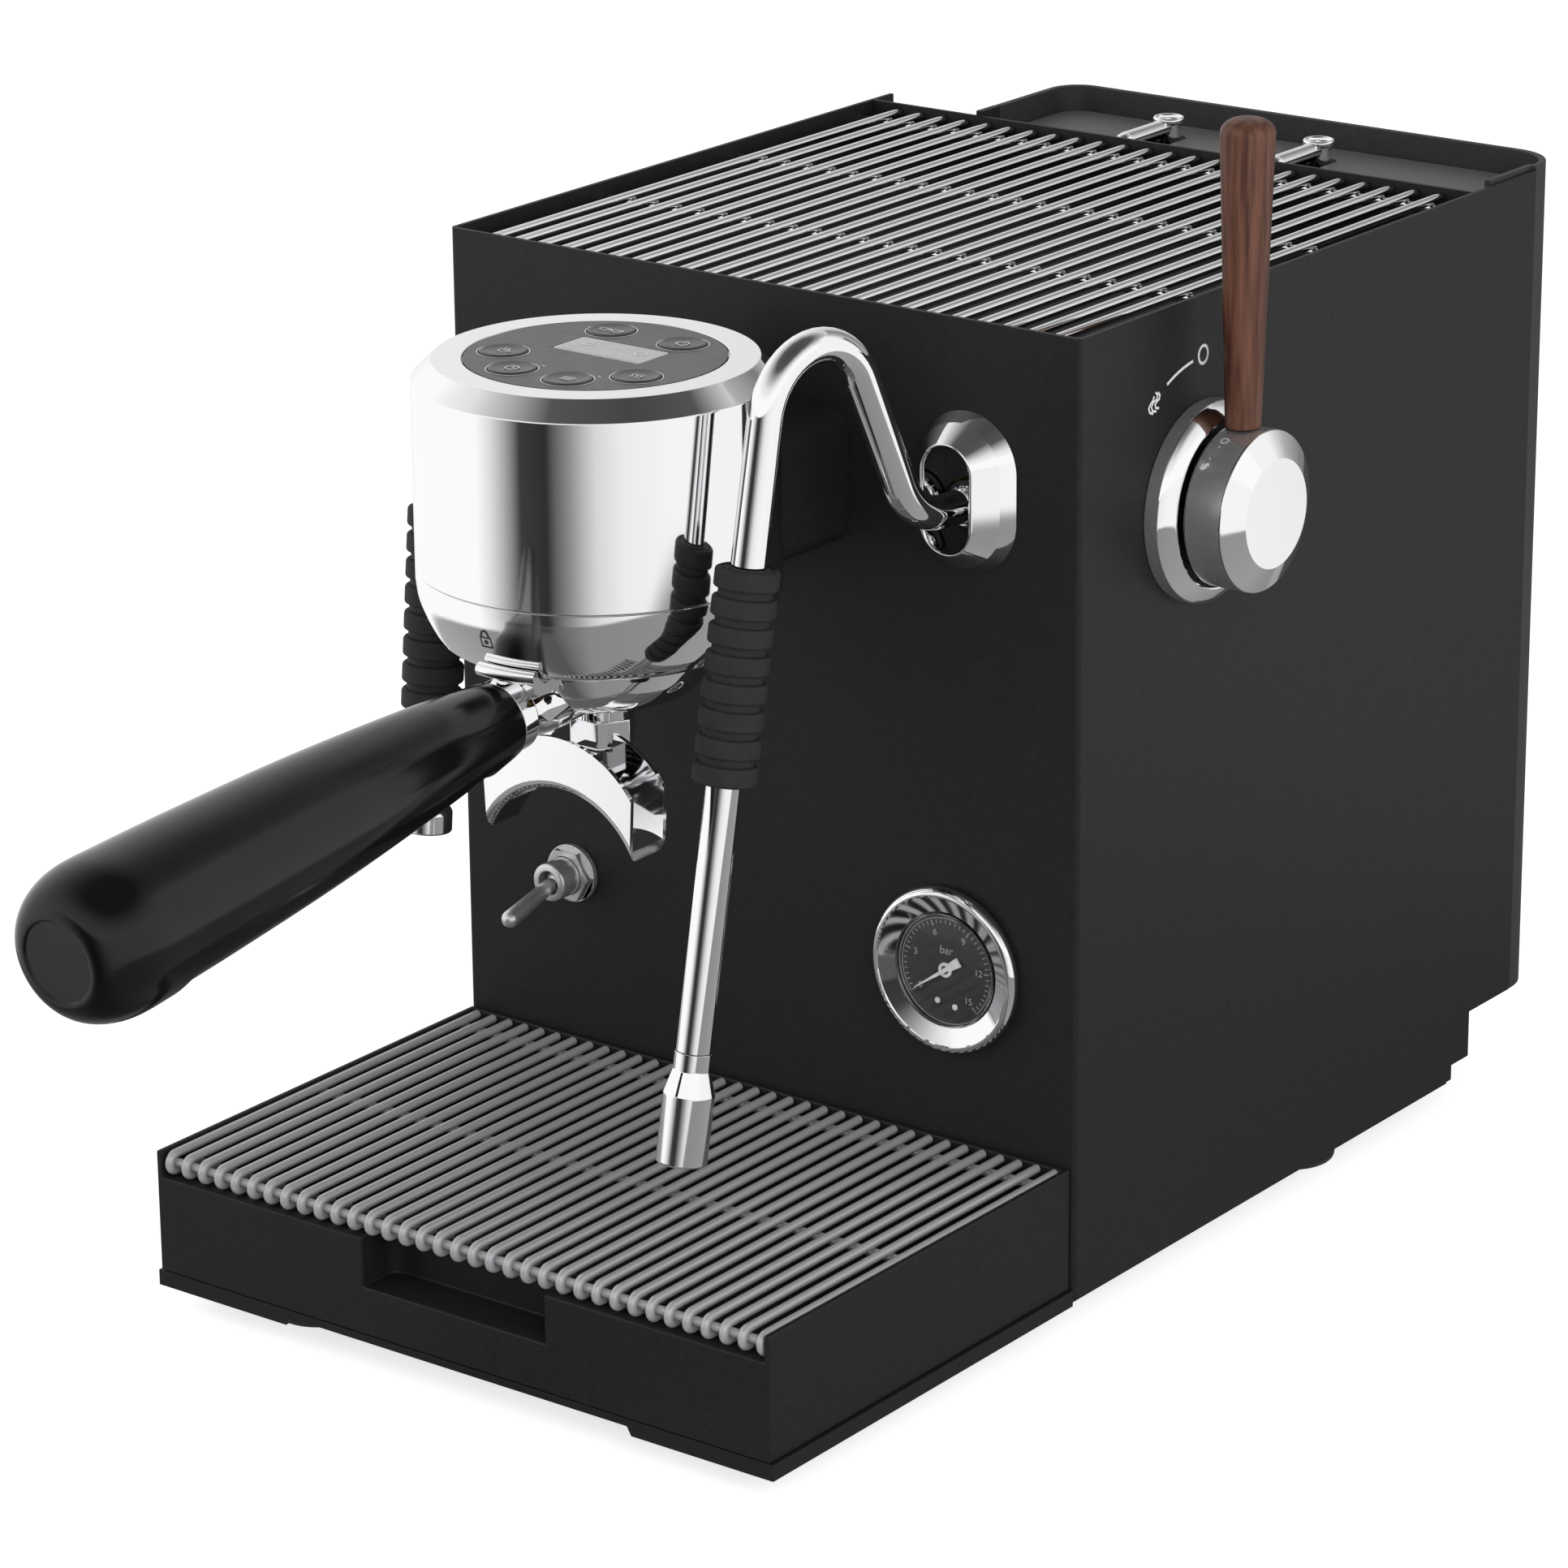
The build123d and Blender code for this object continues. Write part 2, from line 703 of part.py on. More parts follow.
board_z = base_z + head_top + seat
button_low = board_z + board_t + button_travel + seat
button_top = panel_z + button_proud
with BuildPart() as button_board:
    with BuildSketch(level(board_z)):
        with Locations((mid_x, group_y)):
            Circle(button_ring + button_r)
    extrude(amount=board_t)
save(button_board, "button_board")

for name, spot in button_spots.items():
    with BuildPart() as button:
        with BuildSketch(level(button_low)):
            with Locations(spot):
                Circle(button_r + button_skirt)
        extrude(amount=panel_z - panel_t - 2 * run - button_low)
        with BuildSketch(level(button_low)):
            with Locations(spot):
                Circle(button_r)
        extrude(amount=button_top - button_low)
        fillet(button.edges().group_by(Axis.Z)[-1], radius=0.4)
    save(button, f"button_{name}")

# Portafilter: bowl with bayonet ears, basket, nut, spout, collar and handle
handle_dir = Vector(0, -cos(radians(handle_drop)), -sin(radians(handle_drop)))
handle_root = Vector(mid_x, group_y, base_z + handle_z)
handle_plane = Plane(handle_root, x_dir=handle_dir, z_dir=(1, 0, 0))
handle_axis = Axis(handle_root, handle_dir)
boss_z = bowl_floor_z - boss_h
bowl_outer = [(bowl_r, bowl_z), (bowl_r - 2.3, bowl_z - 9.5), (bowl_r - 14, bowl_z - 17.5), (boss_r + 2, bowl_floor_z)]
bowl_rest = [(boss_r, bowl_floor_z - 0.4), (boss_r, boss_z), (0, boss_z), (0, rim_z), (rim_r, rim_z),
             (rim_r, bowl_z + 2), (bowl_r, bowl_z)]
cavity_r = basket_r + 1.2
cavity_z = bowl_floor_z + bowl_wall
bowl_cavity = [(0, cavity_z), (18, cavity_z), (cavity_r - 3.5, cavity_z + 3.9), (cavity_r, bowl_z - 5.9),
               (cavity_r, rim_z + 1), (0, rim_z + 1)]
lug_top = skirt_z + 6.0
lug_profile = [(bowl_r - 2, bowl_z - 6.9), (collar_start + 1, bowl_z - 2.9), (lug_r - 4.4, bowl_z - 0.1),
               (lug_r, lug_top - lug_up + 1.4), (lug_r, lug_top), (lug_r - lug_t, lug_top),
               (lug_r - 3.8, skirt_z), (collar_start + 2, bowl_z - 1.1), (bowl_r - 2, bowl_z - 1.1)]
lug_from = radians(lug_start)
lug_plane = Plane((mid_x, group_y, base_z), x_dir=(cos(lug_from), sin(lug_from), 0),
                  z_dir=(sin(lug_from), -cos(lug_from), 0))
with BuildPart() as portafilter_body:
    with BuildSketch(group_plane):
        with BuildLine():
            Spline(*ring(bowl_outer), tangents=[(0, -1), (-1, 0)])
            Polyline(ring(bowl_outer[-1:] + bowl_rest))
        make_face()
    revolve(axis=group_axis)
    with BuildSketch(level(base_z + ear_z)):
        with Locations((mid_x, group_y)):
            Circle(ear_r)
            Rectangle(2 * ear_r, ear_w, mode=Mode.INTERSECT)
            Circle(rim_r - 1, mode=Mode.SUBTRACT)
    extrude(amount=ear_h)
    with BuildSketch(handle_plane):
        outline([(spine_in, 0), (spine_in, spine_r), (collar_start, spine_r), (collar_start, collar_r - 1.4),
                 (collar_start + 1.4, collar_r), (collar_start + collar_len, collar_r),
                 (collar_start + collar_len, 0)])
    revolve(axis=handle_axis)
    with BuildSketch(lug_plane):
        outline(lug_profile)
    revolve(axis=group_axis, revolution_arc=lug_turn)
    with BuildSketch(group_plane):
        outline(ring(bowl_cavity))
    revolve(axis=group_axis, mode=Mode.SUBTRACT)
    with BuildSketch(level(base_z + cavity_z)):
        with Locations((mid_x, group_y)):
            Circle(5)
    extrude(amount=-bowl_wall - boss_h - nut_h + 2 * seat)
    with BuildSketch(level(base_z + cavity_z)):
        with Locations((mid_x, group_y)):
            Circle(3)
    extrude(amount=-bowl_wall - boss_h - nut_h, mode=Mode.SUBTRACT)
save(portafilter_body, "portafilter_body")

grip_root = collar_start + collar_len + seat
with BuildPart() as portafilter_handle:
    with BuildSketch(handle_plane):
        with BuildLine():
            Spline((grip_root, grip_start_r), (grip_root + grip_waist_at, grip_waist_r),
                   (grip_root + grip_belly_at, grip_belly_r), (grip_end - grip_round, grip_end_r))
            ThreePointArc((grip_end - grip_round, grip_end_r), (grip_end - 4.6, grip_end_r - 4.2),
                          (grip_end, grip_disc_r))
            Polyline((grip_end, grip_disc_r), (grip_end, 0), (grip_root, 0), (grip_root, grip_start_r))
        make_face()
    revolve(axis=handle_axis)
save(portafilter_handle, "portafilter_handle")

with BuildPart() as filter_basket:
    basket_top = rim_z + seat
    basket_low = rim_z - basket_depth
    wall = basket_wall
    with BuildSketch(group_plane):
        outline(ring([(rim_r - 0.3, basket_top), (rim_r - 0.3, basket_top + basket_rim_t),
                      (basket_r - wall, basket_top + basket_rim_t), (basket_r - wall, basket_low + 6),
                      (basket_r - 4 - wall / 2, basket_low + wall), (0, basket_low + wall), (0, basket_low),
                      (basket_r - 4, basket_low), (basket_r, basket_low + 6), (basket_r, basket_top)]))
    revolve(axis=group_axis)
save(filter_basket, "filter_basket")

nut_z = base_z + boss_z - seat / 2
with BuildPart() as spout_nut:
    with BuildSketch(level(nut_z)):
        with Locations((mid_x, group_y)):
            RegularPolygon(nut_af / 2, 6, major_radius=False)
            Circle(5 + seat / 2, mode=Mode.SUBTRACT)
    extrude(amount=-nut_h)
    chamfer(spout_nut.edges().group_by(Axis.Z)[0].filter_by(GeomType.LINE), length=0.8)
save(spout_nut, "spout_nut")

spout_y = group_y - spout_forward
spout_front_y = spout_y - spout_w / 2
spout_low = base_z + spout_low_z
spout_top = base_z + spout_top_z
inner_apex = spout_low + spout_inner_rise
stem_top = nut_z - nut_h - seat / 2
with BuildPart() as spout:
    with BuildSketch(facing_front(spout_front_y)):
        with BuildLine():
            ThreePointArc((mid_x - spout_half, spout_low), (mid_x, inner_apex), (mid_x + spout_half, spout_low))
            Line((mid_x + spout_half, spout_low), (mid_x + spout_half + 1, spout_low + spout_end_h))
            ThreePointArc((mid_x + spout_half + 1, spout_low + spout_end_h), (mid_x, spout_top),
                          (mid_x - spout_half - 1, spout_low + spout_end_h))
            Line((mid_x - spout_half - 1, spout_low + spout_end_h), (mid_x - spout_half, spout_low))
        make_face()
    extrude(amount=-spout_w)
    fillet(spout.edges().filter_by(GeomType.CIRCLE).group_by(Axis.Z)[0], radius=3.0)
    floor_apex = inner_apex + spout_wall
    wide = spout_half + 3
    floor_low = floor_apex - spout_inner_rise * (wide / spout_half) ** 2
    with BuildSketch(facing_front(spout_front_y + spout_wall)):
        with BuildLine():
            ThreePointArc((mid_x - wide, floor_low), (mid_x, floor_apex), (mid_x + wide, floor_low))
            Polyline((mid_x + wide, floor_low), (mid_x + wide, spout_top + 5), (mid_x - wide, spout_top + 5),
                     (mid_x - wide, floor_low))
        make_face()
    extrude(amount=-spout_w + 2 * spout_wall, mode=Mode.SUBTRACT)
    with BuildSketch(level(stem_top)):
        with Locations((mid_x, group_y)):
            Circle(nut_af * 0.6 + run)
    extrude(amount=nut_h * 2, mode=Mode.SUBTRACT)
    block((mid_x - 6, mid_x + 6), (spout_y - 3, group_y + 7), (inner_apex + spout_wall / 2, stem_top))
    with BuildSketch(level(stem_top)):
        with Locations((mid_x, group_y)):
            Circle(3)
    extrude(amount=-4, mode=Mode.SUBTRACT)
save(spout, "spout")

# Wands: each tube leaves a ball in the front panel through a slotted escutcheon
ball_y = front_y + ball_in
steam_route = [(steam_stub, 0), (steam_peak_out, steam_peak_up), (steam_tip_out, steam_tip_z - wand_z)]
water_route = [(water_stub, 0), (water_peak_out, water_peak_up), (water_tip_out, -water_fall)]
wands = {"steam": (steam_turn_in, steam_route, [steam_knee_r, steam_peak_r], steam_grip_from, steam_nozzle_len),
         "water": (0, water_route, [water_knee_r, water_peak_r], water_grip_from, water_nozzle_len)}
for name, (turn_in, route, bends, grip_from, nozzle_len) in wands.items():
    ball = Vector(wand_xs[name], ball_y, wand_axis_z)
    outward = Vector(-sin(radians(turn_in)), -cos(radians(turn_in)), 0)
    upward = Vector(0, 0, 1)
    across = outward.cross(upward)
    corners = [ball + outward * s + upward * h for s, h in route]
    fall = corners[-1] - corners[-2]
    fall_len = fall.length
    fall = fall.normalized()
    fall_plane = Plane(corners[-2], x_dir=fall, z_dir=across)
    fall_axis = Axis(corners[-2], fall)
    tube_end = corners[-2] + fall * (fall_len - nozzle_len)
    tube_start = ball + outward * tube_seat

    with BuildPart() as wand_ball:
        with Locations(ball):
            Sphere(ball_r)
        with BuildSketch(Plane(tube_start - outward * seat, z_dir=outward)):
            Circle(tube_r + run)
        extrude(amount=ball_r, mode=Mode.SUBTRACT)
    save(wand_ball, f"{name}_wand_ball")

    with BuildPart() as wand_tube:
        with BuildLine() as bent:
            FilletPolyline(tube_start, *corners[:-1], tube_end, radius=bends)
        with BuildSketch(Plane(tube_start, z_dir=outward)):
            Circle(tube_r)
        sweep(path=bent.wires()[0])
    save(wand_tube, f"{name}_wand_tube")

    rib_pitch = (grip_len + grip_groove_w) / grip_ribs
    rib_len = rib_pitch - grip_groove_w
    profile = [(grip_from, tube_r + seat / 2)]
    for rib in range(grip_ribs):
        start = grip_from + rib * rib_pitch
        low_r = grip_rib_r - 1.2 if rib == 0 else grip_groove_r
        profile += [(start, low_r), (start + 0.6, grip_rib_r), (start + rib_len - 0.6, grip_rib_r)]
        profile += [(start + rib_len, grip_groove_r)]
    profile += [(profile[-1][0], tube_r + seat / 2)]
    with BuildPart() as wand_grip:
        with BuildSketch(fall_plane):
            outline(profile)
        revolve(axis=fall_axis)
    save(wand_grip, f"{name}_wand_grip")

    start = fall_len - nozzle_len + seat
    neck = min(nozzle_neck, nozzle_len / 4)
    flare = min(nozzle_flare, nozzle_len / 4)
    with BuildPart() as wand_nozzle:
        with BuildSketch(fall_plane):
            outline([(start, 0), (start, tube_r + 0.3), (start + neck, tube_r + 0.3), (start + neck + flare, nozzle_r),
                     (fall_len - 0.8, nozzle_r), (fall_len, nozzle_r - 0.8), (fall_len, 1.4), (fall_len - 6, 1.4),
                     (fall_len - 6, 0)])
        revolve(axis=fall_axis)
    save(wand_nozzle, f"{name}_nozzle")

    with BuildPart() as escutcheon:
        with BuildSketch(facing_front(front_y - seat)):
            with Locations((ball.X, wand_axis_z + escutcheon_up)):
                SlotOverall(escutcheon_h, escutcheon_w, rotation=90)
        extrude(amount=escutcheon_side, taper=side_lean)
        extrude(escutcheon.faces().sort_by(Axis.Y)[0], amount=escutcheon_t - escutcheon_side, taper=bevel_lean)
        with BuildSketch(facing_front(front_y - seat)):
            with Locations((ball.X, wand_axis_z + escutcheon_up)):
                SlotOverall(slot_h, slot_w, rotation=90)
        extrude(amount=escutcheon_t, mode=Mode.SUBTRACT)
        with BuildSketch(facing_front(front_y - seat)):
            with Locations((ball.X, wand_axis_z)):
                Circle(pocket_w / 2)
        extrude(amount=pocket_d, mode=Mode.SUBTRACT)
    save(escutcheon, f"{name}_wand_escutcheon")

with BuildPart() as wand_sockets:
    socket_y = front_y + sheet + seat
    with BuildSketch(facing_front(socket_y)):
        with Locations(*[(x, wand_axis_z) for x in wand_xs.values()]):
            Circle(socket_r)
    extrude(amount=-socket_d)
    with Locations(*[(x, ball_y, wand_axis_z) for x in wand_xs.values()]):
        Sphere(ball_r + run, mode=Mode.SUBTRACT)
save(wand_sockets, "wand_sockets")

# Steam lever: plate on the right side, turning knob with its spindle, wooden lever, valve inside
lever_plane = level(lever_axis_z)
lever_axis = Axis((0, lever_axis_y, lever_axis_z), (1, 0, 0))


def side_ring(points):
    return [(right_x + out, lever_axis_y + r) for out, r in points]


with BuildPart() as lever_plate:
    with BuildSketch(lever_plane):
        with BuildLine():
            face_foot, face_mid, face_top = side_ring([(plate_side, plate_r), (plate_t - 1.2, plate_r - 3.2),
                                                       (plate_t, plate_hole_r + 0.8)])
            ThreePointArc(face_foot, face_mid, face_top)
            Polyline(face_top, *side_ring([(plate_t - 0.8, plate_hole_r), (seat, plate_hole_r), (seat, plate_r)]),
                     face_foot)
        make_face()
    revolve(axis=lever_axis)
save(lever_plate, "lever_plate")

lever_x = right_x + lever_out
lever_foot_z = lever_axis_z + knob_r + seat
with BuildPart() as steam_knob:
    with BuildSketch(lever_plane):
        band_from = plate_t + knob_gap
        outline(side_ring([(-spindle_len, 0), (-spindle_len, spindle_r), (knob_back, spindle_r),
                           (knob_back, knob_hub_r), (band_from, knob_hub_r), (band_from, knob_r - 0.7),
                           (band_from + 0.7, knob_r), (knob_band, knob_r), (knob_reach, knob_face_r),
                           (knob_reach, 0)]))
    revolve(axis=lever_axis)
    with BuildSketch(level(lever_foot_z)):
        with Locations((lever_x, lever_axis_y)):
            Circle(lever_peg_r + spindle_fit)
    extrude(amount=-lever_peg - seat, mode=Mode.SUBTRACT)
save(steam_knob, "steam_knob")

lever_top_z = lever_foot_z + lever_len
dome_r = (lever_top_r ** 2 + lever_dome ** 2) / (2 * lever_dome)
dome_turn = atan2(lever_top_r, dome_r - lever_dome) / 2
dome_mid = (lever_x + dome_r * sin(dome_turn), lever_top_z - dome_r + dome_r * cos(dome_turn))
dome_foot = (lever_x + lever_top_r, lever_top_z - lever_dome)
with BuildPart() as lever_handle:
    with BuildSketch(facing_front(lever_axis_y)):
        with BuildLine():
            Polyline((lever_x, lever_foot_z - lever_peg), (lever_x + lever_peg_r, lever_foot_z - lever_peg),
                     (lever_x + lever_peg_r, lever_foot_z), (lever_x + lever_base_r, lever_foot_z),
                     dome_foot)
            ThreePointArc(dome_foot, dome_mid, (lever_x, lever_top_z))
            Line((lever_x, lever_top_z), (lever_x, lever_foot_z - lever_peg))
        make_face()
    revolve(axis=Axis((lever_x, lever_axis_y, 0), (0, 0, 1)))
save(lever_handle, "lever_handle")

valve_x = right_x - sheet - seat
with BuildPart() as steam_valve:
    with BuildSketch(facing_side(valve_x)):
        with Locations((lever_axis_y, lever_axis_z)):
            Circle(valve_r)
    extrude(amount=-6)
    with BuildSketch(facing_side(valve_x)):
        with Locations((lever_axis_y, lever_axis_z)):
            RegularPolygon(valve_r - 3, 6)
    extrude(amount=-valve_len)
    with BuildSketch(facing_side(valve_x)):
        with Locations((lever_axis_y, lever_axis_z)):
            Circle(spindle_r + run)
    extrude(amount=-spindle_len, mode=Mode.SUBTRACT)
save(steam_valve, "steam_valve")

# Toggle switch: body behind the panel, threaded bushing, nut with washer, bat
toggle_x = mid_x - toggle_out
with BuildPart() as toggle_switch:
    block((toggle_x - switch_w / 2, toggle_x + switch_w / 2),
          (front_y + sheet + seat, front_y + sheet + seat + switch_d), (low_row - switch_h / 2, low_row + switch_h / 2))
    with BuildSketch(facing_front(front_y + sheet + seat)):
        with Locations((toggle_x, low_row)):
            Circle(bushing_r)
    extrude(amount=bushing_len + sheet + seat)
    with BuildSketch(facing_front(front_y - bushing_len)):
        with Locations((toggle_x, low_row)):
            Circle(bat_ball_r + 2 * run)
    extrude(amount=bat_ball_r + run - bushing_len + bat_pivot - bushing_len, mode=Mode.SUBTRACT)
save(toggle_switch, "toggle_switch")

with BuildPart() as toggle_nut:
    with BuildSketch(facing_front(front_y - seat)):
        with Locations((toggle_x, low_row)):
            Circle(washer_r)
    extrude(amount=washer_t)
    with BuildSketch(facing_front(front_y - seat)):
        with Locations((toggle_x, low_row)):
            RegularPolygon(toggle_nut_af / 2, 6, major_radius=False)
    extrude(amount=washer_t + toggle_nut_t)
    with BuildSketch(facing_front(front_y - seat)):
        with Locations((toggle_x, low_row)):
            Circle(bushing_r + seat / 2)
    extrude(amount=washer_t + toggle_nut_t, mode=Mode.SUBTRACT)
save(toggle_nut, "toggle_nut")

bat_root = Vector(toggle_x, front_y - bat_pivot, low_row)
bat_dir = Vector(0, -cos(radians(bat_down)), -sin(radians(bat_down)))
with BuildPart() as toggle_bat:
    with Locations(bat_root):
        Sphere(bat_ball_r)
    with BuildSketch(Plane(bat_root, x_dir=bat_dir, z_dir=(1, 0, 0))):
        outline([(0, 0), (0, bat_root_r), (bat_len - 4, bat_tip_r), (bat_len - 1, bat_tip_r - 0.5),
                 (bat_len, bat_tip_r - 1.6), (bat_len, 0)])
    revolve(axis=Axis(bat_root, bat_dir))
save(toggle_bat, "toggle_bat")

# Pressure gauge: bezel with its can, dial, needle, glass
gauge_x = mid_x + gauge_out
gauge_axis = Axis((gauge_x, 0, low_row), (0, 1, 0))


def front_ring(points):
    return [(gauge_x + r, front_y - out) for r, out in points]


dial_seat = dial_in - dial_t
with BuildPart() as gauge_bezel:
    with BuildSketch(level(low_row)):
        with BuildLine():
            rim = front_ring([(bezel_r - bezel_lip, bezel_t), (bezel_r, bezel_t / 2), (bezel_r - bezel_foot, seat)])
            ThreePointArc(*rim)
            Polyline(rim[-1], *front_ring([(gauge_can_r, seat), (gauge_can_r, -gauge_can_d), (0, -gauge_can_d),
                                           (0, dial_seat - seat / 2), (dial_r + seat, dial_seat - seat / 2),
                                           (dial_r + seat, glass_out - glass_t), (dish_r, bezel_t)]), rim[0])
        make_face()
    revolve(axis=gauge_axis)
save(gauge_bezel, "gauge_bezel")

with BuildPart() as gauge_dial:
    with BuildSketch(facing_front(front_y - dial_seat)):
        with Locations((gauge_x, low_row)):
            Circle(dial_r)
            Circle(needle_pin_r + seat, mode=Mode.SUBTRACT)
    extrude(amount=dial_t)
save(gauge_dial, "gauge_dial")

with BuildPart() as gauge_glass:
    with BuildSketch(facing_front(front_y - glass_out + glass_t)):
        with Locations((gauge_x, low_row)):
            Circle(dial_r)
    extrude(amount=glass_t)
save(gauge_glass, "gauge_glass")

needle_turn = radians(needle_rest)
with BuildPart() as gauge_needle:
    with BuildSketch(facing_front(front_y - dial_in - run)):
        with Locations((gauge_x, low_row)):
            Circle(needle_hub_r)
            with Locations(Rotation(0, 0, needle_rest)):
                outline([(-needle_tail, -needle_w), (-needle_tail, needle_w), (0, needle_w / 2),
                         (needle_len, 0.3), (needle_len, -0.3), (0, -needle_w / 2)])
    extrude(amount=needle_t)
    with BuildSketch(facing_front(front_y - dial_in - run)):
        with Locations((gauge_x, low_row)):
            Circle(needle_pin_r)
    extrude(amount=-dial_t)
save(gauge_needle, "gauge_needle")

# Water tank behind the dock, its lid and the two pipes that dip into it
tank_front_y = dock_rear_y + seat
tank_rear_y = dock_rear_y + tank_d
deck_z = base_z + tank_deck
tank_points = [(tank_left_x, tank_front_y), (dock_right_x, tank_front_y), (dock_right_x, casing_rear_y + run),
               (right_x, casing_rear_y + run), (right_x, tank_rear_y), (tank_left_x, tank_rear_y)]
with BuildSketch(Plane.XY) as tank_plan:
    outline(tank_points)
    fillet(tank_plan.vertices().group_by(Axis.Y)[-1].sort_by(Axis.X)[-1], radius=tank_corner_right)
    fillet(tank_plan.vertices().group_by(Axis.Y)[-1].sort_by(Axis.X)[0], radius=tank_corner_left)


def tank_section(inset):
    add(tank_plan.sketch)
    if inset:
        offset(amount=-inset, mode=Mode.REPLACE)


with BuildPart() as water_tank:
    with BuildSketch(level(base_z + tank_lift)):
        tank_section(0)
    extrude(amount=tank_rim - tank_lift)
    with BuildSketch(level(base_z + tank_lift + tank_wall)):
        tank_section(tank_wall)
    extrude(amount=tank_rim - tank_lift, mode=Mode.SUBTRACT)
    bearer_z = deck_z - lid_t - seat / 2
    with BuildSketch(level(bearer_z)) as bearer:
        tank_section(tank_wall)
    extrude(amount=-lid_bearer)
    with BuildSketch(level(bearer_z)):
        tank_section(tank_wall + lid_bearer)
    extrude(amount=-lid_bearer, mode=Mode.SUBTRACT)
    block((tank_left_x + tank_wall, dock_right_x - tank_wall), (tank_front_y, tank_front_y + tank_wall),
          (deck_z, base_z + tank_rim), Mode.SUBTRACT)
save(water_tank, "water_tank")

pipe_spots = [(mid_x + x, front_y + pipe_back) for x in pipe_xs]
with BuildPart() as tank_lid:
    with BuildSketch(level(deck_z)):
        tank_section(tank_wall + run)
        for x, y in pipe_spots:
            with Locations((x, y)):
                Circle(pipe_slot_w / 2, mode=Mode.SUBTRACT)
            with Locations((x, (y + tank_front_y) / 2)):
                Rectangle(pipe_slot_w, y - tank_front_y, mode=Mode.SUBTRACT)
    extrude(amount=-lid_t)
save(tank_lid, "tank_lid")

pipe_z = deck_z + pipe_r + 2 * run
with BuildPart() as tank_pipes:
    for x, y in pipe_spots:
        with BuildSketch(level(base_z + pipe_foot_z)):
            with Locations((x, y)):
                Circle(pipe_drop_r)
        extrude(amount=pipe_ring_z - pipe_foot_z)
        with BuildSketch(level(base_z + pipe_ring_z)):
            with Locations((x, y)):
                Circle(pipe_ring_r)
        extrude(amount=-pipe_ring_t)
        with BuildLine() as bridge:
            FilletPolyline((x, y, pipe_z), (x, front_y + pipe_front, pipe_z),
                           (x, front_y + pipe_front, dock_top_z - 8), radius=5)
        with BuildSketch(Plane((x, y, pipe_z), z_dir=(0, -1, 0))):
            Circle(pipe_r)
        sweep(path=bridge.wires()[0])
save(tank_pipes, "tank_pipes")

# Inner pieces that stand on the pan or hang on the panels
pan_top = base_z + pan_h + seat
boiler_xy = (mid_x + boiler_x, front_y + boiler_back)
boiler_z = pan_top + boiler_lift
with BuildPart() as boiler:
    with BuildSketch(level(boiler_z)):
        with Locations(boiler_xy):
            Circle(boiler_r)
    extrude(amount=boiler_h)
    ends = boiler.edges().group_by(Axis.Z)
    fillet(ends[0] + ends[-1], radius=boiler_dome)
    with BuildSketch(facing_front(boiler_xy[1])):
        outline([(boiler_xy[0] + r, boiler_z + z) for r, z in (
            (0, boiler_wall), (boiler_r - boiler_dome, boiler_wall), (boiler_r - boiler_wall, boiler_dome),
            (boiler_r - boiler_wall, boiler_h - boiler_dome), (boiler_r - boiler_dome, boiler_h - boiler_wall),
            (0, boiler_h - boiler_wall))])
    revolve(axis=Axis((*boiler_xy, 0), (0, 0, 1)), mode=Mode.SUBTRACT)
    with BuildSketch(level(boiler_z)):
        with Locations(boiler_xy):
            Circle(line_r / 2)
    extrude(amount=boiler_wall * 2, mode=Mode.SUBTRACT)
    with BuildSketch(level(pan_top)):
        with Locations(boiler_xy):
            with PolarLocations(boiler_r - boiler_dome, 3):
                Circle(boiler_leg_r)
    extrude(amount=boiler_lift + boiler_wall)
save(boiler, "boiler")

pump_spot = (mid_x + pump_x, base_z + pump_axis_z)
pump_y = (front_y + pump_back, front_y + pump_back + pump_len)
with BuildPart() as vibration_pump:
    with BuildSketch(facing_front(pump_y[1])):
        with Locations(pump_spot):
            Circle(pump_r)
    extrude(amount=pump_len)
    with BuildSketch(facing_front(pump_y[1] + pump_nose)):
        with Locations(pump_spot):
            Circle(pump_nose_r)
    extrude(amount=pump_nose)
    for y in (pump_y[0] + pump_saddle_in, pump_y[1] - pump_saddle_in):
        block((pump_spot[0] - pump_r * 0.7, pump_spot[0] + pump_r * 0.7),
              (y - pump_saddle_w / 2, y + pump_saddle_w / 2), (pan_top, pump_spot[1]))
save(vibration_pump, "vibration_pump")

valve_z = base_z + spigot_z - spigot_h / 2
valve_y = (front_y + sheet + seat, front_y + sheet + seat + valve_d)
with BuildPart() as solenoid_valve:
    block((mid_x - valve_w / 2, mid_x + valve_w / 2), valve_y, (valve_z, valve_z + valve_h))
    with BuildSketch(level(valve_z)):
        with Locations((mid_x, sum(valve_y) / 2)):
            Circle(coil_r)
    extrude(amount=-coil_h)
save(solenoid_valve, "solenoid_valve")

with BuildPart() as control_box:
    box_left = left_x + sheet + seat
    block((box_left, box_left + box_w), (front_y + body_d / 2 - box_d / 2, front_y + body_d / 2 + box_d / 2),
          (base_z + box_z, base_z + box_z + box_h))
    fillet(control_box.edges().filter_by(Axis.Z).group_by(Axis.X)[-1], radius=4)
save(control_box, "control_box")

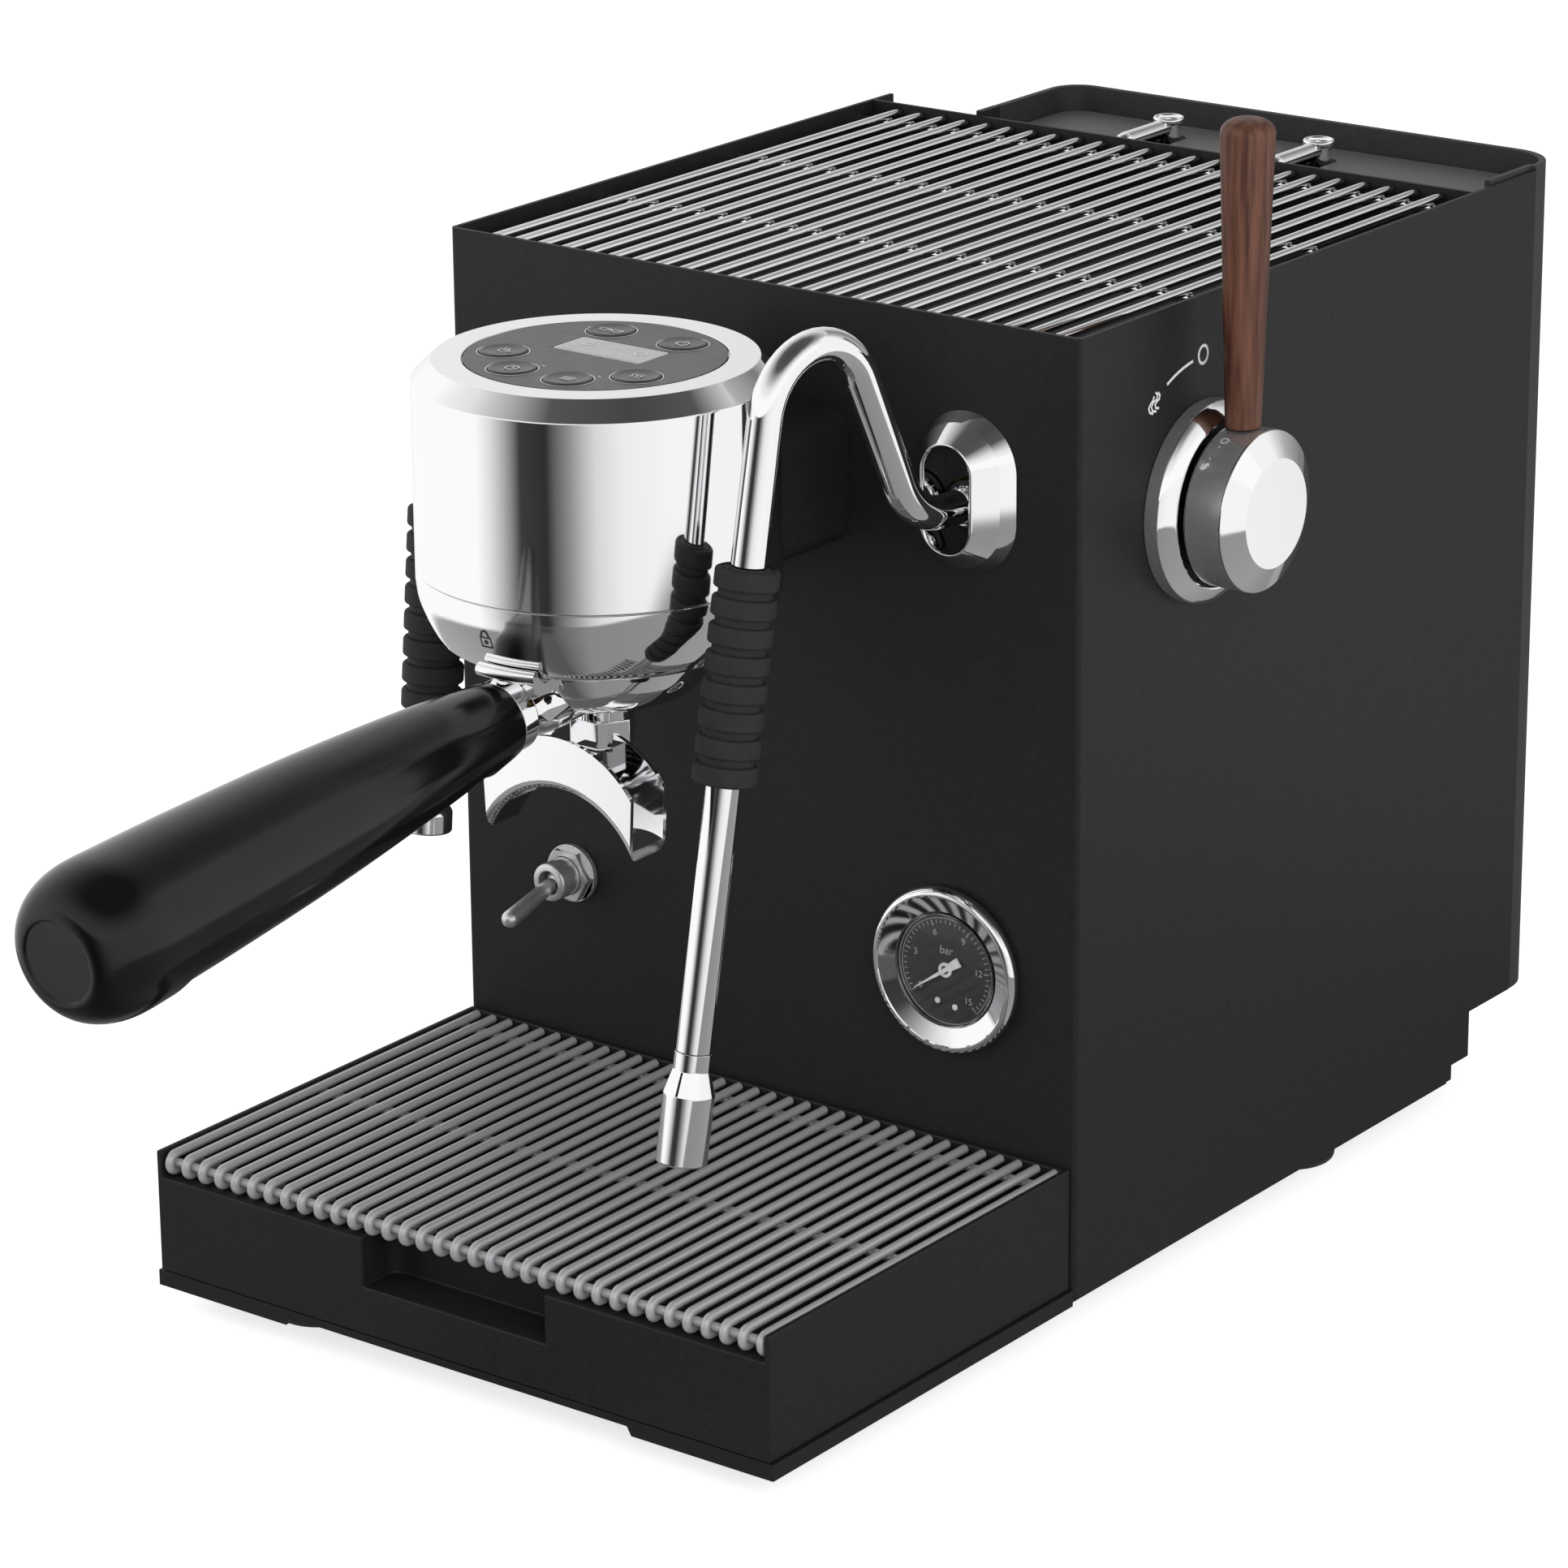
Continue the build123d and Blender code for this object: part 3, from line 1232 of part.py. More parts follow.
boiler_top = boiler_z + boiler_h + seat
steam_x = boiler_xy[0] + steam_port
brew_xy = (boiler_xy[0] - brew_port_x, boiler_xy[1] - brew_port_y)
brew_z = valve_z + valve_h / 2
lines = {"steam": [(steam_x, boiler_xy[1], boiler_top), (steam_x, boiler_xy[1], lever_axis_z),
                   (steam_x, lever_axis_y, lever_axis_z), (valve_x - valve_len - seat, lever_axis_y, lever_axis_z)],
         "brew": [(*brew_xy, boiler_top), (*brew_xy, brew_z), (brew_xy[0], valve_y[1] + seat, brew_z)],
         "feed": [(pump_spot[0], pump_y[1] + pump_nose + seat, pump_spot[1]),
                  (pump_spot[0], pump_y[1] + pump_nose + feed_run, pump_spot[1]),
                  (boiler_xy[0], pump_y[1] + pump_nose + feed_run, pump_spot[1]),
                  (boiler_xy[0], boiler_xy[1], pump_spot[1]), (boiler_xy[0], boiler_xy[1], boiler_z - seat)]}
with BuildPart() as copper_lines:
    for points in lines.values():
        with BuildLine() as bent_line:
            FilletPolyline(*points, radius=line_bend)
        with BuildSketch(Plane(points[0], z_dir=Vector(*points[1]) - Vector(*points[0]))):
            Circle(line_r)
        sweep(path=bent_line.wires()[0])
save(copper_lines, "copper_lines")

# Mains socket and screws on the rear panel
inlet_spot = (mid_x - inlet_out, base_z + inlet_z)
with BuildPart() as power_inlet:
    with BuildSketch(facing_front(rear_y + seat)):
        with Locations(inlet_spot):
            RectangleRounded(inlet_w + 2 * inlet_flange, inlet_h + 2 * inlet_flange, 2)
    extrude(amount=-inlet_flange)
    with BuildSketch(facing_front(rear_y + seat)):
        with Locations(inlet_spot):
            Rectangle(inlet_w, inlet_h)
    extrude(amount=20)
    with BuildSketch(facing_front(rear_y + seat + inlet_flange)):
        with Locations(inlet_spot):
            RectangleRounded(inlet_w - 4, inlet_h - 4, 2)
    extrude(amount=17, mode=Mode.SUBTRACT)
    with BuildSketch(facing_front(rear_y + seat - 14)):
        with Locations(*[(inlet_spot[0] + x, inlet_spot[1] + z) for x, z in ((-7, -2), (0, 3), (7, -2))]):
            Rectangle(2, 4)
    extrude(amount=-14)
save(power_inlet, "power_inlet")

with BuildPart() as casing_screws:
    screw_x = left_x + tank_left / 4
    with BuildSketch(facing_front(rear_y + seat)):
        with Locations(*[(screw_x, base_z + z) for z in (screw_inset, body_h / 2, body_h - screw_inset)]):
            Circle(screw_r)
    extrude(amount=-screw_t)
    fillet(casing_screws.edges().group_by(Axis.Y)[-1], radius=1)
save(casing_screws, "casing_screws")
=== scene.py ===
import math
import bmesh
import bpy
from mathutils import Matrix, Vector


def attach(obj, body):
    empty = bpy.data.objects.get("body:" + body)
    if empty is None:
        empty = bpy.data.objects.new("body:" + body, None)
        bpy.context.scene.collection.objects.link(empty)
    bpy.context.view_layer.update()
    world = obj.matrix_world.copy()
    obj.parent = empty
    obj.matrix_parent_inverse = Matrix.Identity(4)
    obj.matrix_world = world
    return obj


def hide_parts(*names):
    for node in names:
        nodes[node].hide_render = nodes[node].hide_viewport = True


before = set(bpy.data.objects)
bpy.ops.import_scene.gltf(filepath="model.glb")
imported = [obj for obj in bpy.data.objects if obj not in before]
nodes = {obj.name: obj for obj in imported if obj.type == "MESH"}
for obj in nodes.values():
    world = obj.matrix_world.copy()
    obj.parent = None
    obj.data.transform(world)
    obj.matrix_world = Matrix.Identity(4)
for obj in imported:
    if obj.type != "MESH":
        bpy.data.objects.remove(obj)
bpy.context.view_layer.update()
scene = bpy.context.scene
scene.view_settings.view_transform = "Standard"

# Places of the machine in the part's frame, in millimetres
MM = 0.001
MID_X, FRONT_Y, BASE_Z = -14.1, 17.4, 10.0
CASING_W = 250.0
RIGHT_X = MID_X + CASING_W / 2
GROUP = Vector((MID_X, FRONT_Y - 79.7, BASE_Z))
LOW_ROW = 115.5
UP = Vector((0, 0, 1))
FRONT = Vector((0, -1, 0))


# Shader helpers

def linear(hex_colour):
    """An sRGB hex colour as a linear RGBA value."""
    out = []
    for k in (0, 2, 4):
        c = int(hex_colour[k:k + 2], 16) / 255
        out.append(c / 12.92 if c <= 0.04045 else ((c + 0.055) / 1.055) ** 2.4)
    return (*out, 1.0)


def add(tree, kind, settings=None, inputs=None, links=None):
    """One node with its settings, its socket values and its incoming links."""
    node = tree.nodes.new(kind)
    for key, value in (settings or {}).items():
        setattr(node, key, value)
    for key, value in (inputs or {}).items():
        node.inputs[key].default_value = value
    for key, source in (links or {}).items():
        tree.links.new(source, node.inputs[key])
    return node


def finish(name, colour, inputs, grain=None, bump=None, rough=None, stretch=(1, 1, 1)):
    """A Principled surface. grain = (second colour, size in mm, detail); bump = (size in mm, height in mm);
    rough = (low, high, size in mm)."""
    mat = bpy.data.materials.new(name)
    mat.use_nodes = True
    tree = mat.node_tree
    shader = tree.nodes["Principled BSDF"]
    shader.inputs["Base Color"].default_value = linear(colour)
    for key, value in inputs.items():
        shader.inputs[key].default_value = value
    place = add(tree, "ShaderNodeTexCoord")
    spot = add(tree, "ShaderNodeMapping", inputs={"Scale": stretch},
               links={"Vector": place.outputs["Object"]})

    def noise(size, detail):
        """Noise of a size in millimetres, fixed to the piece."""
        cloud = add(tree, "ShaderNodeTexNoise", inputs={"Scale": 1 / (size * MM), "Detail": detail},
                    links={"Vector": spot.outputs["Vector"]})
        return cloud.outputs["Fac"]

    if grain:
        second, size, detail = grain
        ramp = add(tree, "ShaderNodeValToRGB", links={"Fac": noise(size, detail)})
        ramp.color_ramp.elements[0].position = 0.35
        ramp.color_ramp.elements[1].position = 0.65
        ramp.color_ramp.elements[0].color = linear(colour)
        ramp.color_ramp.elements[1].color = linear(second)
        tree.links.new(ramp.outputs["Color"], shader.inputs["Base Color"])
    if rough:
        low, high, size = rough
        span = add(tree, "ShaderNodeMapRange", inputs={"To Min": low, "To Max": high},
                   links={"Value": noise(size, 3.0)})
        tree.links.new(span.outputs["Result"], shader.inputs["Roughness"])
    if bump:
        size, height = bump
        relief = add(tree, "ShaderNodeBump", inputs={"Strength": 1.0, "Distance": height * MM},
                     links={"Height": noise(size, 2.0)})
        tree.links.new(relief.outputs["Normal"], shader.inputs["Normal"])
    return mat


# Polyester powder coat on steel: fine dry grain that scatters light softly. The grit is drawn at 0.9 mm,
# coarser than the real 0.3 mm, so that it shows.
powder_coat = finish("powder_coated_steel", "1b1b1b",
                     {"Roughness": 0.5, "IOR": 1.5, "Specular IOR Level": 0.25},
                     grain=("202020", 1.4, 4.0), bump=(0.9, 0.012), rough=(0.44, 0.56, 2.2))
# Polished chrome plate on brass: mirror with the faintest handling haze, in patches of about 30 mm.
chrome = finish("polished_chrome_plate", "fafafb", {"Metallic": 1.0, "Roughness": 0.05},
                rough=(0.03, 0.075, 30.0))
# Satin wire of the drip grid: bead-blasted before plating, so it scatters more light than it mirrors.
satin_wire = finish("satin_plated_wire", "b2b3b5", {"Metallic": 0.35, "Roughness": 0.34},
                    rough=(0.28, 0.4, 6.0), stretch=(1, 0.08, 1))
# Drawn chrome wire: slightly softer mirror with long drawing lines along its run.
chrome_wire = finish("drawn_chrome_wire", "eeeff0", {"Metallic": 1.0, "Roughness": 0.06},
                     rough=(0.04, 0.09, 6.0), stretch=(1, 0.08, 1))
# Satin nickel of the switch and of the lever's turned bands: fine lathe lines that spread what they mirror.
satin_nickel = finish("satin_nickel_plate", "d8d8d9", {"Metallic": 0.85, "Roughness": 0.27},
                      rough=(0.22, 0.32, 4.0), stretch=(1, 1, 0.2))
# Rolled stainless steel: satin with a short grain.
stainless = finish("satin_stainless_steel", "b4b5b6", {"Metallic": 1.0, "Roughness": 0.32},
                   rough=(0.25, 0.4, 1.2), stretch=(1, 1, 0.1))
# Sand-cast brass: dull yellow, pitted by the mould at about 1 mm.
brass = finish("cast_brass", "b08d57", {"Metallic": 1.0, "Roughness": 0.45},
               grain=("a07a45", 9.0, 3.0), bump=(1.0, 0.03))
# Drawn copper tube, slightly dulled.
copper = finish("drawn_copper_tube", "b87333", {"Metallic": 1.0, "Roughness": 0.3},
                grain=("9c5a2c", 12.0, 3.0), rough=(0.22, 0.4, 5.0))
# Moulded silicone rubber: dry, dark and dusty, with a fine spark-eroded mould texture.
rubber = finish("moulded_silicone_rubber", "222222", {"Roughness": 0.72, "IOR": 1.43},
                grain=("272727", 3.0, 4.0), bump=(0.6, 0.02), rough=(0.62, 0.8, 1.5))
# Phenolic resin, compression moulded and polished: near-black with a clear deep gloss.
phenolic = finish("polished_phenolic_resin", "0a0a0a",
                  {"Roughness": 0.2, "IOR": 1.5, "Specular IOR Level": 0.35},
                  grain=("101010", 20.0, 3.0), rough=(0.12, 0.2, 14.0))
# Silk-printed acrylic over the electronics: dark, smooth and satin.
panel_face = finish("satin_acrylic_panel", "3a3a3a", {"Roughness": 0.32, "IOR": 1.49},
                    grain=("3e3e3e", 5.0, 3.0), rough=(0.28, 0.38, 4.0))
button_face = finish("moulded_abs_button", "2e2e2e", {"Roughness": 0.28, "IOR": 1.53},
                     grain=("323232", 3.0, 3.0), rough=(0.22, 0.34, 3.0))
# Liquid-crystal window: flat pale grey with a soft sheen.
display_face = finish("lcd_window", "bababa", {"Roughness": 0.25, "IOR": 1.5},
                      grain=("c2c2c2", 8.0, 2.0), rough=(0.2, 0.3, 6.0))
# Injection-moulded ABS of the tank: fine matte spark texture.
tank_abs = finish("textured_abs", "262626", {"Roughness": 0.55, "IOR": 1.53},
                  grain=("2b2b2b", 2.0, 3.0), bump=(0.7, 0.012), rough=(0.48, 0.62, 2.0))
lid_abs = finish("matte_grey_abs", "5c5c5c", {"Roughness": 0.5, "IOR": 1.53},
                 grain=("636363", 2.0, 3.0), bump=(0.7, 0.01), rough=(0.44, 0.58, 2.0))
dial_print = finish("printed_dial_card", "181818", {"Roughness": 0.5, "IOR": 1.5},
                    grain=("1d1d1d", 1.5, 3.0), rough=(0.42, 0.56, 2.0))
# White screen ink: thin, chalky and very slightly uneven. It also draws the pale rings round the buttons,
# which are a painted highlight of their edges.
white_ink_and_highlight = finish("white_screen_ink_and_painted_highlight", "eeeeee", {"Roughness": 0.6, "IOR": 1.5},
                   grain=("d8d8d8", 1.2, 3.0), rough=(0.5, 0.7, 1.0))
grey_ink = finish("grey_screen_ink", "9a9a9a", {"Roughness": 0.6, "IOR": 1.5},
                  grain=("8e8e8e", 1.2, 3.0), rough=(0.5, 0.7, 1.0))
dark_ink = finish("dark_etched_mark", "303030", {"Roughness": 0.5, "IOR": 1.5},
                  grain=("3a3a3a", 1.2, 3.0), rough=(0.4, 0.6, 1.0))
needle_paint = finish("white_needle_lacquer", "d0d0d0", {"Roughness": 0.4, "IOR": 1.5},
                      grain=("c4c4c4", 2.0, 2.0), rough=(0.3, 0.5, 2.0))
# Float glass with an anti-glare coating, so that it mirrors little.
gauge_pane = finish("coated_float_glass", "ffffff",
                    {"Roughness": 0.02, "IOR": 1.2, "Transmission Weight": 1.0}, rough=(0.0, 0.03, 12.0))
# Oiled black walnut: brown heartwood, darker streaks along the stick, open pores about 0.4 mm wide.
walnut = finish("oiled_black_walnut", "44271d", {"Roughness": 0.45, "IOR": 1.5, "Specular IOR Level": 0.3},
                grain=("6c4738", 2.2, 7.0), bump=(0.7, 0.05), rough=(0.36, 0.52, 1.6), stretch=(1, 1, 0.07))


# Mesh helpers. Sizes are in millimetres and become metres in the mesh.

def smoothed(mesh, crease=32):
    """Smooth shading that breaks at edges sharper than the crease."""
    mesh.polygons.foreach_set("use_smooth", [True] * len(mesh.polygons))
    mesh.set_sharp_from_angle(angle=math.radians(crease))
    return mesh


def shell(points, faces, crease=32):
    """A closed mesh from points in millimetres, with its seams merged and its faces turned outwards."""
    mesh = bpy.data.meshes.new("form")
    mesh.from_pydata([Vector(p) * MM for p in points], [], faces)
    bm = bmesh.new()
    bm.from_mesh(mesh)
    bmesh.ops.remove_doubles(bm, verts=bm.verts, dist=1e-6)
    bmesh.ops.recalc_face_normals(bm, faces=bm.faces)
    bm.to_mesh(mesh)
    bm.free()
    return smoothed(mesh, crease)


def joined(*meshes):
    """Several meshes as one."""
    bm = bmesh.new()
    for mesh in meshes:
        bm.from_mesh(mesh)
    mesh = bpy.data.meshes.new("form")
    bm.to_mesh(mesh)
    bm.free()
    return mesh


def applied(obj):
    """The mesh that an object's modifiers make; the object goes."""
    bpy.context.view_layer.update()
    seen = obj.evaluated_get(bpy.context.evaluated_depsgraph_get())
    mesh = bpy.data.meshes.new_from_object(seen)
    bpy.data.objects.remove(obj)
    return mesh


def stand_in(mesh):
    """An object that holds a mesh in the scene."""
    obj = bpy.data.objects.new("form", mesh)
    scene.collection.objects.link(obj)
    return obj


def piece(name, mesh, body, slot, material, *replaced):
    """A finished piece on its body, with its finish, in place of its CAD nodes."""
    mesh.name = name
    mesh.materials.clear()
    mesh.materials.append(material)
    obj = bpy.data.objects.new(name, mesh)
    scene.collection.objects.link(obj)
    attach(obj, body)
    if replaced:
        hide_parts(*replaced)


def chromed(name, mesh, body, *replaced):
    """A piece in polished chrome."""
    piece(name, mesh, body, "polished_chrome", chrome, *replaced)


def printed(name, lines, width, place, body="machine", slot="display", ink=white_ink_and_highlight):
    """A mark of strokes laid on a surface: a print, and for the button rings a painted highlight."""
    piece(name, ribbons(lines, width, place), body, slot, ink)


def turns(start, stop, steps):
    """Angles in equal steps, from and to places given in degrees."""
    return [math.radians(start + (stop - start) * k / steps) for k in range(steps + 1)]


def rounded(corners, steps=7, guard=0.12):
    """A line whose corners are filleted. Each corner is its coordinates and a radius; short guard runs beside
    each fillet keep the flats flat in reflections."""
    out = []
    for k, (*spot, radius) in enumerate(corners):
        here = Vector(spot)
        if not radius or k in (0, len(corners) - 1):
            out.append(here)
            continue
        back = (Vector(corners[k - 1][:-1]) - here).normalized()
        ahead = (Vector(corners[k + 1][:-1]) - here).normalized()
        half = back.angle(ahead) / 2
        reach = radius / math.tan(half)
        middle = here + (back + ahead).normalized() * radius / math.sin(half)
        start, end = here + back * reach - middle, here + ahead * reach - middle
        bend = [middle + start.slerp(end, i / steps) * radius for i in range(steps + 1)]
        if guard:
            bend = [here + back * (reach + guard), *bend, here + ahead * (reach + guard)]
        out += bend
    return out


def flowing(points, steps=8):
    """A smooth line through the points."""
    pts = [Vector(p) for p in points]
    pts = [pts[0] * 2 - pts[1], *pts, pts[-1] * 2 - pts[-2]]
    out = []
    for k in range(1, len(pts) - 2):
        a, b, c, d = pts[k - 1:k + 3]
        for i in range(steps):
            t = i / steps
            out.append(0.5 * (2 * b + (c - a) * t + (2 * a - 5 * b + 4 * c - d) * t * t
                              + (3 * b - a - 3 * c + d) * t ** 3))
    return out + [pts[-2]]


def ring_faces(steps, count):
    """Faces between profiles of some count of points, set round a ring."""
    faces = []
    for k in range(steps):
        here, after = k * count, (k + 1) % steps * count
        faces += [(here + i, here + i + 1, after + i + 1, after + i) for i in range(count - 1)]
    return faces


def turned(profile, foot, axis, steps=96, crease=32):
    """A form turned on an axis from a profile of (radius, distance along the axis)."""
    axis = Vector(axis).normalized()
    side = axis.orthogonal().normalized()
    other = axis.cross(side)
    points = []
    for k in range(steps):
        turn = 2 * math.pi * k / steps
        out = side * math.cos(turn) + other * math.sin(turn)
        points += [Vector(foot) + axis * p[1] + out * p[0] for p in profile]
    return shell(points, ring_faces(steps, len(profile)), crease)


def prism(sections, crease=32):
    """A solid through closed sections of equal count, with flat ends."""
    count = len(sections[0])
    faces = [tuple(range(count)), tuple(range(count * (len(sections) - 1), count * len(sections)))]
    for k in range(len(sections) - 1):
        here, after = k * count, (k + 1) * count
        faces += [(here + i, here + (i + 1) % count, after + (i + 1) % count, after + i)
                  for i in range(count)]
    return shell([p for ring in sections for p in ring], faces, crease)


def block(low, high):
    """A box between two corners."""
    corners = [(low[0], low[2]), (high[0], low[2]), (high[0], high[2]), (low[0], high[2])]
    return prism([[(x, y, z) for x, z in corners] for y in (low[1], high[1])])


def carved(mesh, tool):
    """A mesh with another one cut out of it."""
    obj, cutting = stand_in(mesh), stand_in(tool)
    cut_out = obj.modifiers.new("cut", "BOOLEAN")
    cut_out.object, cut_out.operation, cut_out.solver = cutting, "DIFFERENCE", "EXACT"
    mesh = applied(obj)
    bpy.data.objects.remove(cutting)
    return mesh


def bevelled(mesh, width, crease=35, segments=3):
    """A mesh with its sharp edges rounded over."""
    obj = stand_in(mesh)
    edge = obj.modifiers.new("edge", "BEVEL")
    edge.width, edge.segments, edge.angle_limit = width * MM, segments, math.radians(crease)
    edge.limit_method = "ANGLE"
    flat = obj.modifiers.new("flat", "WEIGHTED_NORMAL")
    flat.keep_sharp = True
    return applied(obj)


def softened(node, width, crease=35, segments=3):
    """A copy of a CAD node with its edges rounded over."""
    source = nodes[node].data
    bm = bmesh.new()
    places = [bm.verts.new(v.co) for v in source.vertices]
    for face in source.polygons:
        bm.faces.new([places[i] for i in face.vertices])
    bmesh.ops.remove_doubles(bm, verts=bm.verts, dist=2e-6)
    bmesh.ops.dissolve_limit(bm, angle_limit=math.radians(0.3), verts=bm.verts, edges=bm.edges)
    mesh = bpy.data.meshes.new("form")
    bm.to_mesh(mesh)
    bm.free()
    return bevelled(smoothed(mesh, 60), width, crease, segments)


def stadium(profile, centre, steps=48):
    """A form of upright stadium rings that faces the front, from a profile of (half width, half straight,
    distance out from the panel)."""
    points = []
    for k in range(steps):
        turn = 2 * math.pi * (k + 0.5) / steps
        for half, straight, out in profile:
            rise = half * math.sin(turn) + (straight if math.sin(turn) > 0 else -straight)
            points.append(Vector(centre) + Vector((half * math.cos(turn), -out, rise)))
    return shell(points, ring_faces(steps, len(profile)), 30)


def ribbons(lines, width, place):
    """Flat printed strokes: lines of (u, v) points, laid on a surface by place(u, v)."""
    points, faces = [], []
    for line in lines:
        pts = [Vector(p) for p in line]
        ring = (pts[0] - pts[-1]).length < 1e-6
        if ring:
            pts = pts[:-1]
        first = len(points)
        for k, p in enumerate(pts):
            before = pts[k - 1] if ring or k else p * 2 - pts[1]
            after = pts[(k + 1) % len(pts)] if ring or k < len(pts) - 1 else p * 2 - pts[k - 1]
            along = (after - before).normalized()
            miter = Vector((-along.y, along.x)) * width / 2
            if not ring and k in (0, len(pts) - 1):
                p = p + along * (width / 3 if k else -width / 3)
            points += [place(*(p - miter)), place(*(p + miter))]
        last = len(pts) if ring else len(pts) - 1
        for k in range(last):
            a, b = first + 2 * k, first + 2 * ((k + 1) % len(pts))
            faces.append((a, b, b + 1, a + 1))
    mesh = bpy.data.meshes.new("form")
    mesh.from_pydata([Vector(p) * MM for p in points], [], faces)
    return mesh


def arc(u, v, r, start=0, stop=360, steps=20, squash=1.0):
    """Points of an arc for a stroke, angles in degrees."""
    return [(u + r * math.cos(t), v + r * squash * math.sin(t)) for t in turns(start, stop, steps)]


# Geometry trees: a wire swept along its route and set in a row, a form set in a row, a form set round a ring

def tree_with(name, sockets):
    """A new geometry tree with named inputs, and those inputs."""
    tree = bpy.data.node_groups.new(name, "GeometryNodeTree")
    tree.interface.new_socket("Geometry", in_out="INPUT", socket_type="NodeSocketGeometry")
    for label, kind in sockets:
        tree.interface.new_socket(label, in_out="INPUT", socket_type="NodeSocket" + kind)
    tree.interface.new_socket("Geometry", in_out="OUTPUT", socket_type="NodeSocketGeometry")
    return tree, add(tree, "NodeGroupInput").outputs


def close(tree, source, coat):
    """Ends a tree: instances made real, then the finish."""
    real = add(tree, "GeometryNodeRealizeInstances", links={"Geometry": source})
    coated = add(tree, "GeometryNodeSetMaterial", links={"Geometry": real.outputs[0], "Material": coat})
    add(tree, "NodeGroupOutput", links={"Geometry": coated.outputs[0]})


wire_row, given = tree_with("wire_row", [("Radius", "Float"), ("Sides", "Int"), ("Count", "Int"),
                                         ("Step", "Vector"), ("Finish", "Material")])
route = add(wire_row, "GeometryNodeMeshToCurve", links={"Mesh": given["Geometry"]})
girth = add(wire_row, "GeometryNodeInputNamedAttribute", {"data_type": "FLOAT"}, {"Name": "girth"})
sized = add(wire_row, "GeometryNodeSetCurveRadius",
            links={"Curve": route.outputs[0], "Radius": girth.outputs["Attribute"]})
section = add(wire_row, "GeometryNodeCurvePrimitiveCircle",
              links={"Resolution": given["Sides"], "Radius": given["Radius"]})
swept = add(wire_row, "GeometryNodeCurveToMesh", inputs={"Fill Caps": True},
            links={"Curve": sized.outputs[0], "Profile Curve": section.outputs[0]})
places = add(wire_row, "GeometryNodeMeshLine", links={"Count": given["Count"], "Offset": given["Step"]})
row = add(wire_row, "GeometryNodeInstanceOnPoints",
          links={"Points": places.outputs[0], "Instance": swept.outputs[0]})
close(wire_row, row.outputs[0], given["Finish"])

form_row, given = tree_with("form_row", [("Count", "Int"), ("Step", "Vector"), ("Finish", "Material")])
places = add(form_row, "GeometryNodeMeshLine", links={"Count": given["Count"], "Offset": given["Step"]})
row = add(form_row, "GeometryNodeInstanceOnPoints",
          links={"Points": places.outputs[0], "Instance": given["Geometry"]})
close(form_row, row.outputs[0], given["Finish"])

form_ring, given = tree_with("form_ring", [("Count", "Int"), ("Turn", "Float"), ("Finish", "Material")])
places = add(form_ring, "GeometryNodeMeshLine", links={"Count": given["Count"]}, inputs={"Offset": (0, 0, 0)})
index = add(form_ring, "GeometryNodeInputIndex")
angle = add(form_ring, "ShaderNodeMath", {"operation": "MULTIPLY"},
            links={0: index.outputs[0], 1: given["Turn"]})
about = add(form_ring, "ShaderNodeCombineXYZ", links={"Z": angle.outputs[0]})
row = add(form_ring, "GeometryNodeInstanceOnPoints",
          links={"Points": places.outputs[0], "Instance": given["Geometry"], "Rotation": about.outputs[0]})
close(form_ring, row.outputs[0], given["Finish"])


def shaped(tree, mesh, crease=40, **values):
    """The plain mesh that a tree makes from a mesh and named values."""
    obj = stand_in(mesh)
    grown = obj.modifiers.new("form", "NODES")
    grown.node_group = tree
    for item in tree.interface.items_tree:
        if item.in_out == "INPUT" and item.name in values:
            grown[item.identifier] = values[item.name]
    return smoothed(applied(obj), crease)


def line_mesh(points, girths=None):
    """A route as a mesh of edges, with the wire's relative girth at each point."""
    mesh = bpy.data.meshes.new("form")
    mesh.from_pydata([Vector(p) * MM for p in points], [(k, k + 1) for k in range(len(points) - 1)], [])
    mesh.attributes.new("girth", "FLOAT", "POINT").data.foreach_set("value", girths or [1.0] * len(points))
    return mesh


def rods(points, radius, sides, finish, count=1, step=(0, 0, 0), girths=None):
    """Wires along a route, in a row."""
    return shaped(wire_row, line_mesh(points, girths), Radius=radius * MM, Sides=sides, Count=count,
                  Step=Vector(step) * MM, Finish=finish)


# Sheet metal and moulded shells: the CAD's own forms with rolled or moulded edges
for node, width, body, slot, coat in (
        ("casing_wrap", 0.5, "machine", "powder_coat", powder_coat),
        ("base_pan", 0.5, "machine", "powder_coat", powder_coat),
        ("rear_panel", 0.5, "machine", "powder_coat", powder_coat),
        ("cup_tray", 0.6, "machine", "powder_coat", powder_coat),
        ("drip_tray", 0.6, "tray", "powder_coat", powder_coat),
        ("group_neck", 0.8, "machine", "powder_coat", powder_coat),
        ("water_tank", 0.8, "machine", "tank_plastic", tank_abs),
        ("tank_lid", 0.5, "lid", "tank_plastic", lid_abs),
        ("power_inlet", 0.4, "machine", "tank_plastic", tank_abs),
        ("control_panel", 0.2, "machine", "panel_plastic", panel_face),
        ("display_window", 0.15, "machine", "display", display_face),
        ("spout", 0.35, "portafilter", "polished_chrome", chrome),
        ("spout_nut", 0.5, "portafilter", "polished_chrome", chrome)):
    piece(node + "_soft", softened(node, width), body, slot, coat, node)

# Pieces that the machine hides keep their CAD form
for node, coat in {"group_head": brass, "wand_sockets": brass, "steam_valve": brass, "solenoid_valve": brass,
                   "group_gasket": rubber, "shower_screen": stainless, "filter_basket": stainless,
                   "boiler": stainless, "copper_lines": copper, "control_box": tank_abs,
                   "vibration_pump": tank_abs, "button_board": tank_abs}.items():
    for held in nodes[node].material_slots:
        held.material = coat

# Rubber feet
foot = rounded([(0, 0, 0), (15.5, 0, 1.6), (17, 13.9, 0.8), (0, 13.9, 0)])
feet = [turned(foot, (MID_X + side * x, FRONT_Y + y, 0), UP, 64)
        for side in (-1, 1) for x, y in ((84.5, -127.0), (100.0, 168.0))]
piece("rubber_feet_moulded", joined(*feet), "machine", "black_rubber", rubber, "rubber_feet")

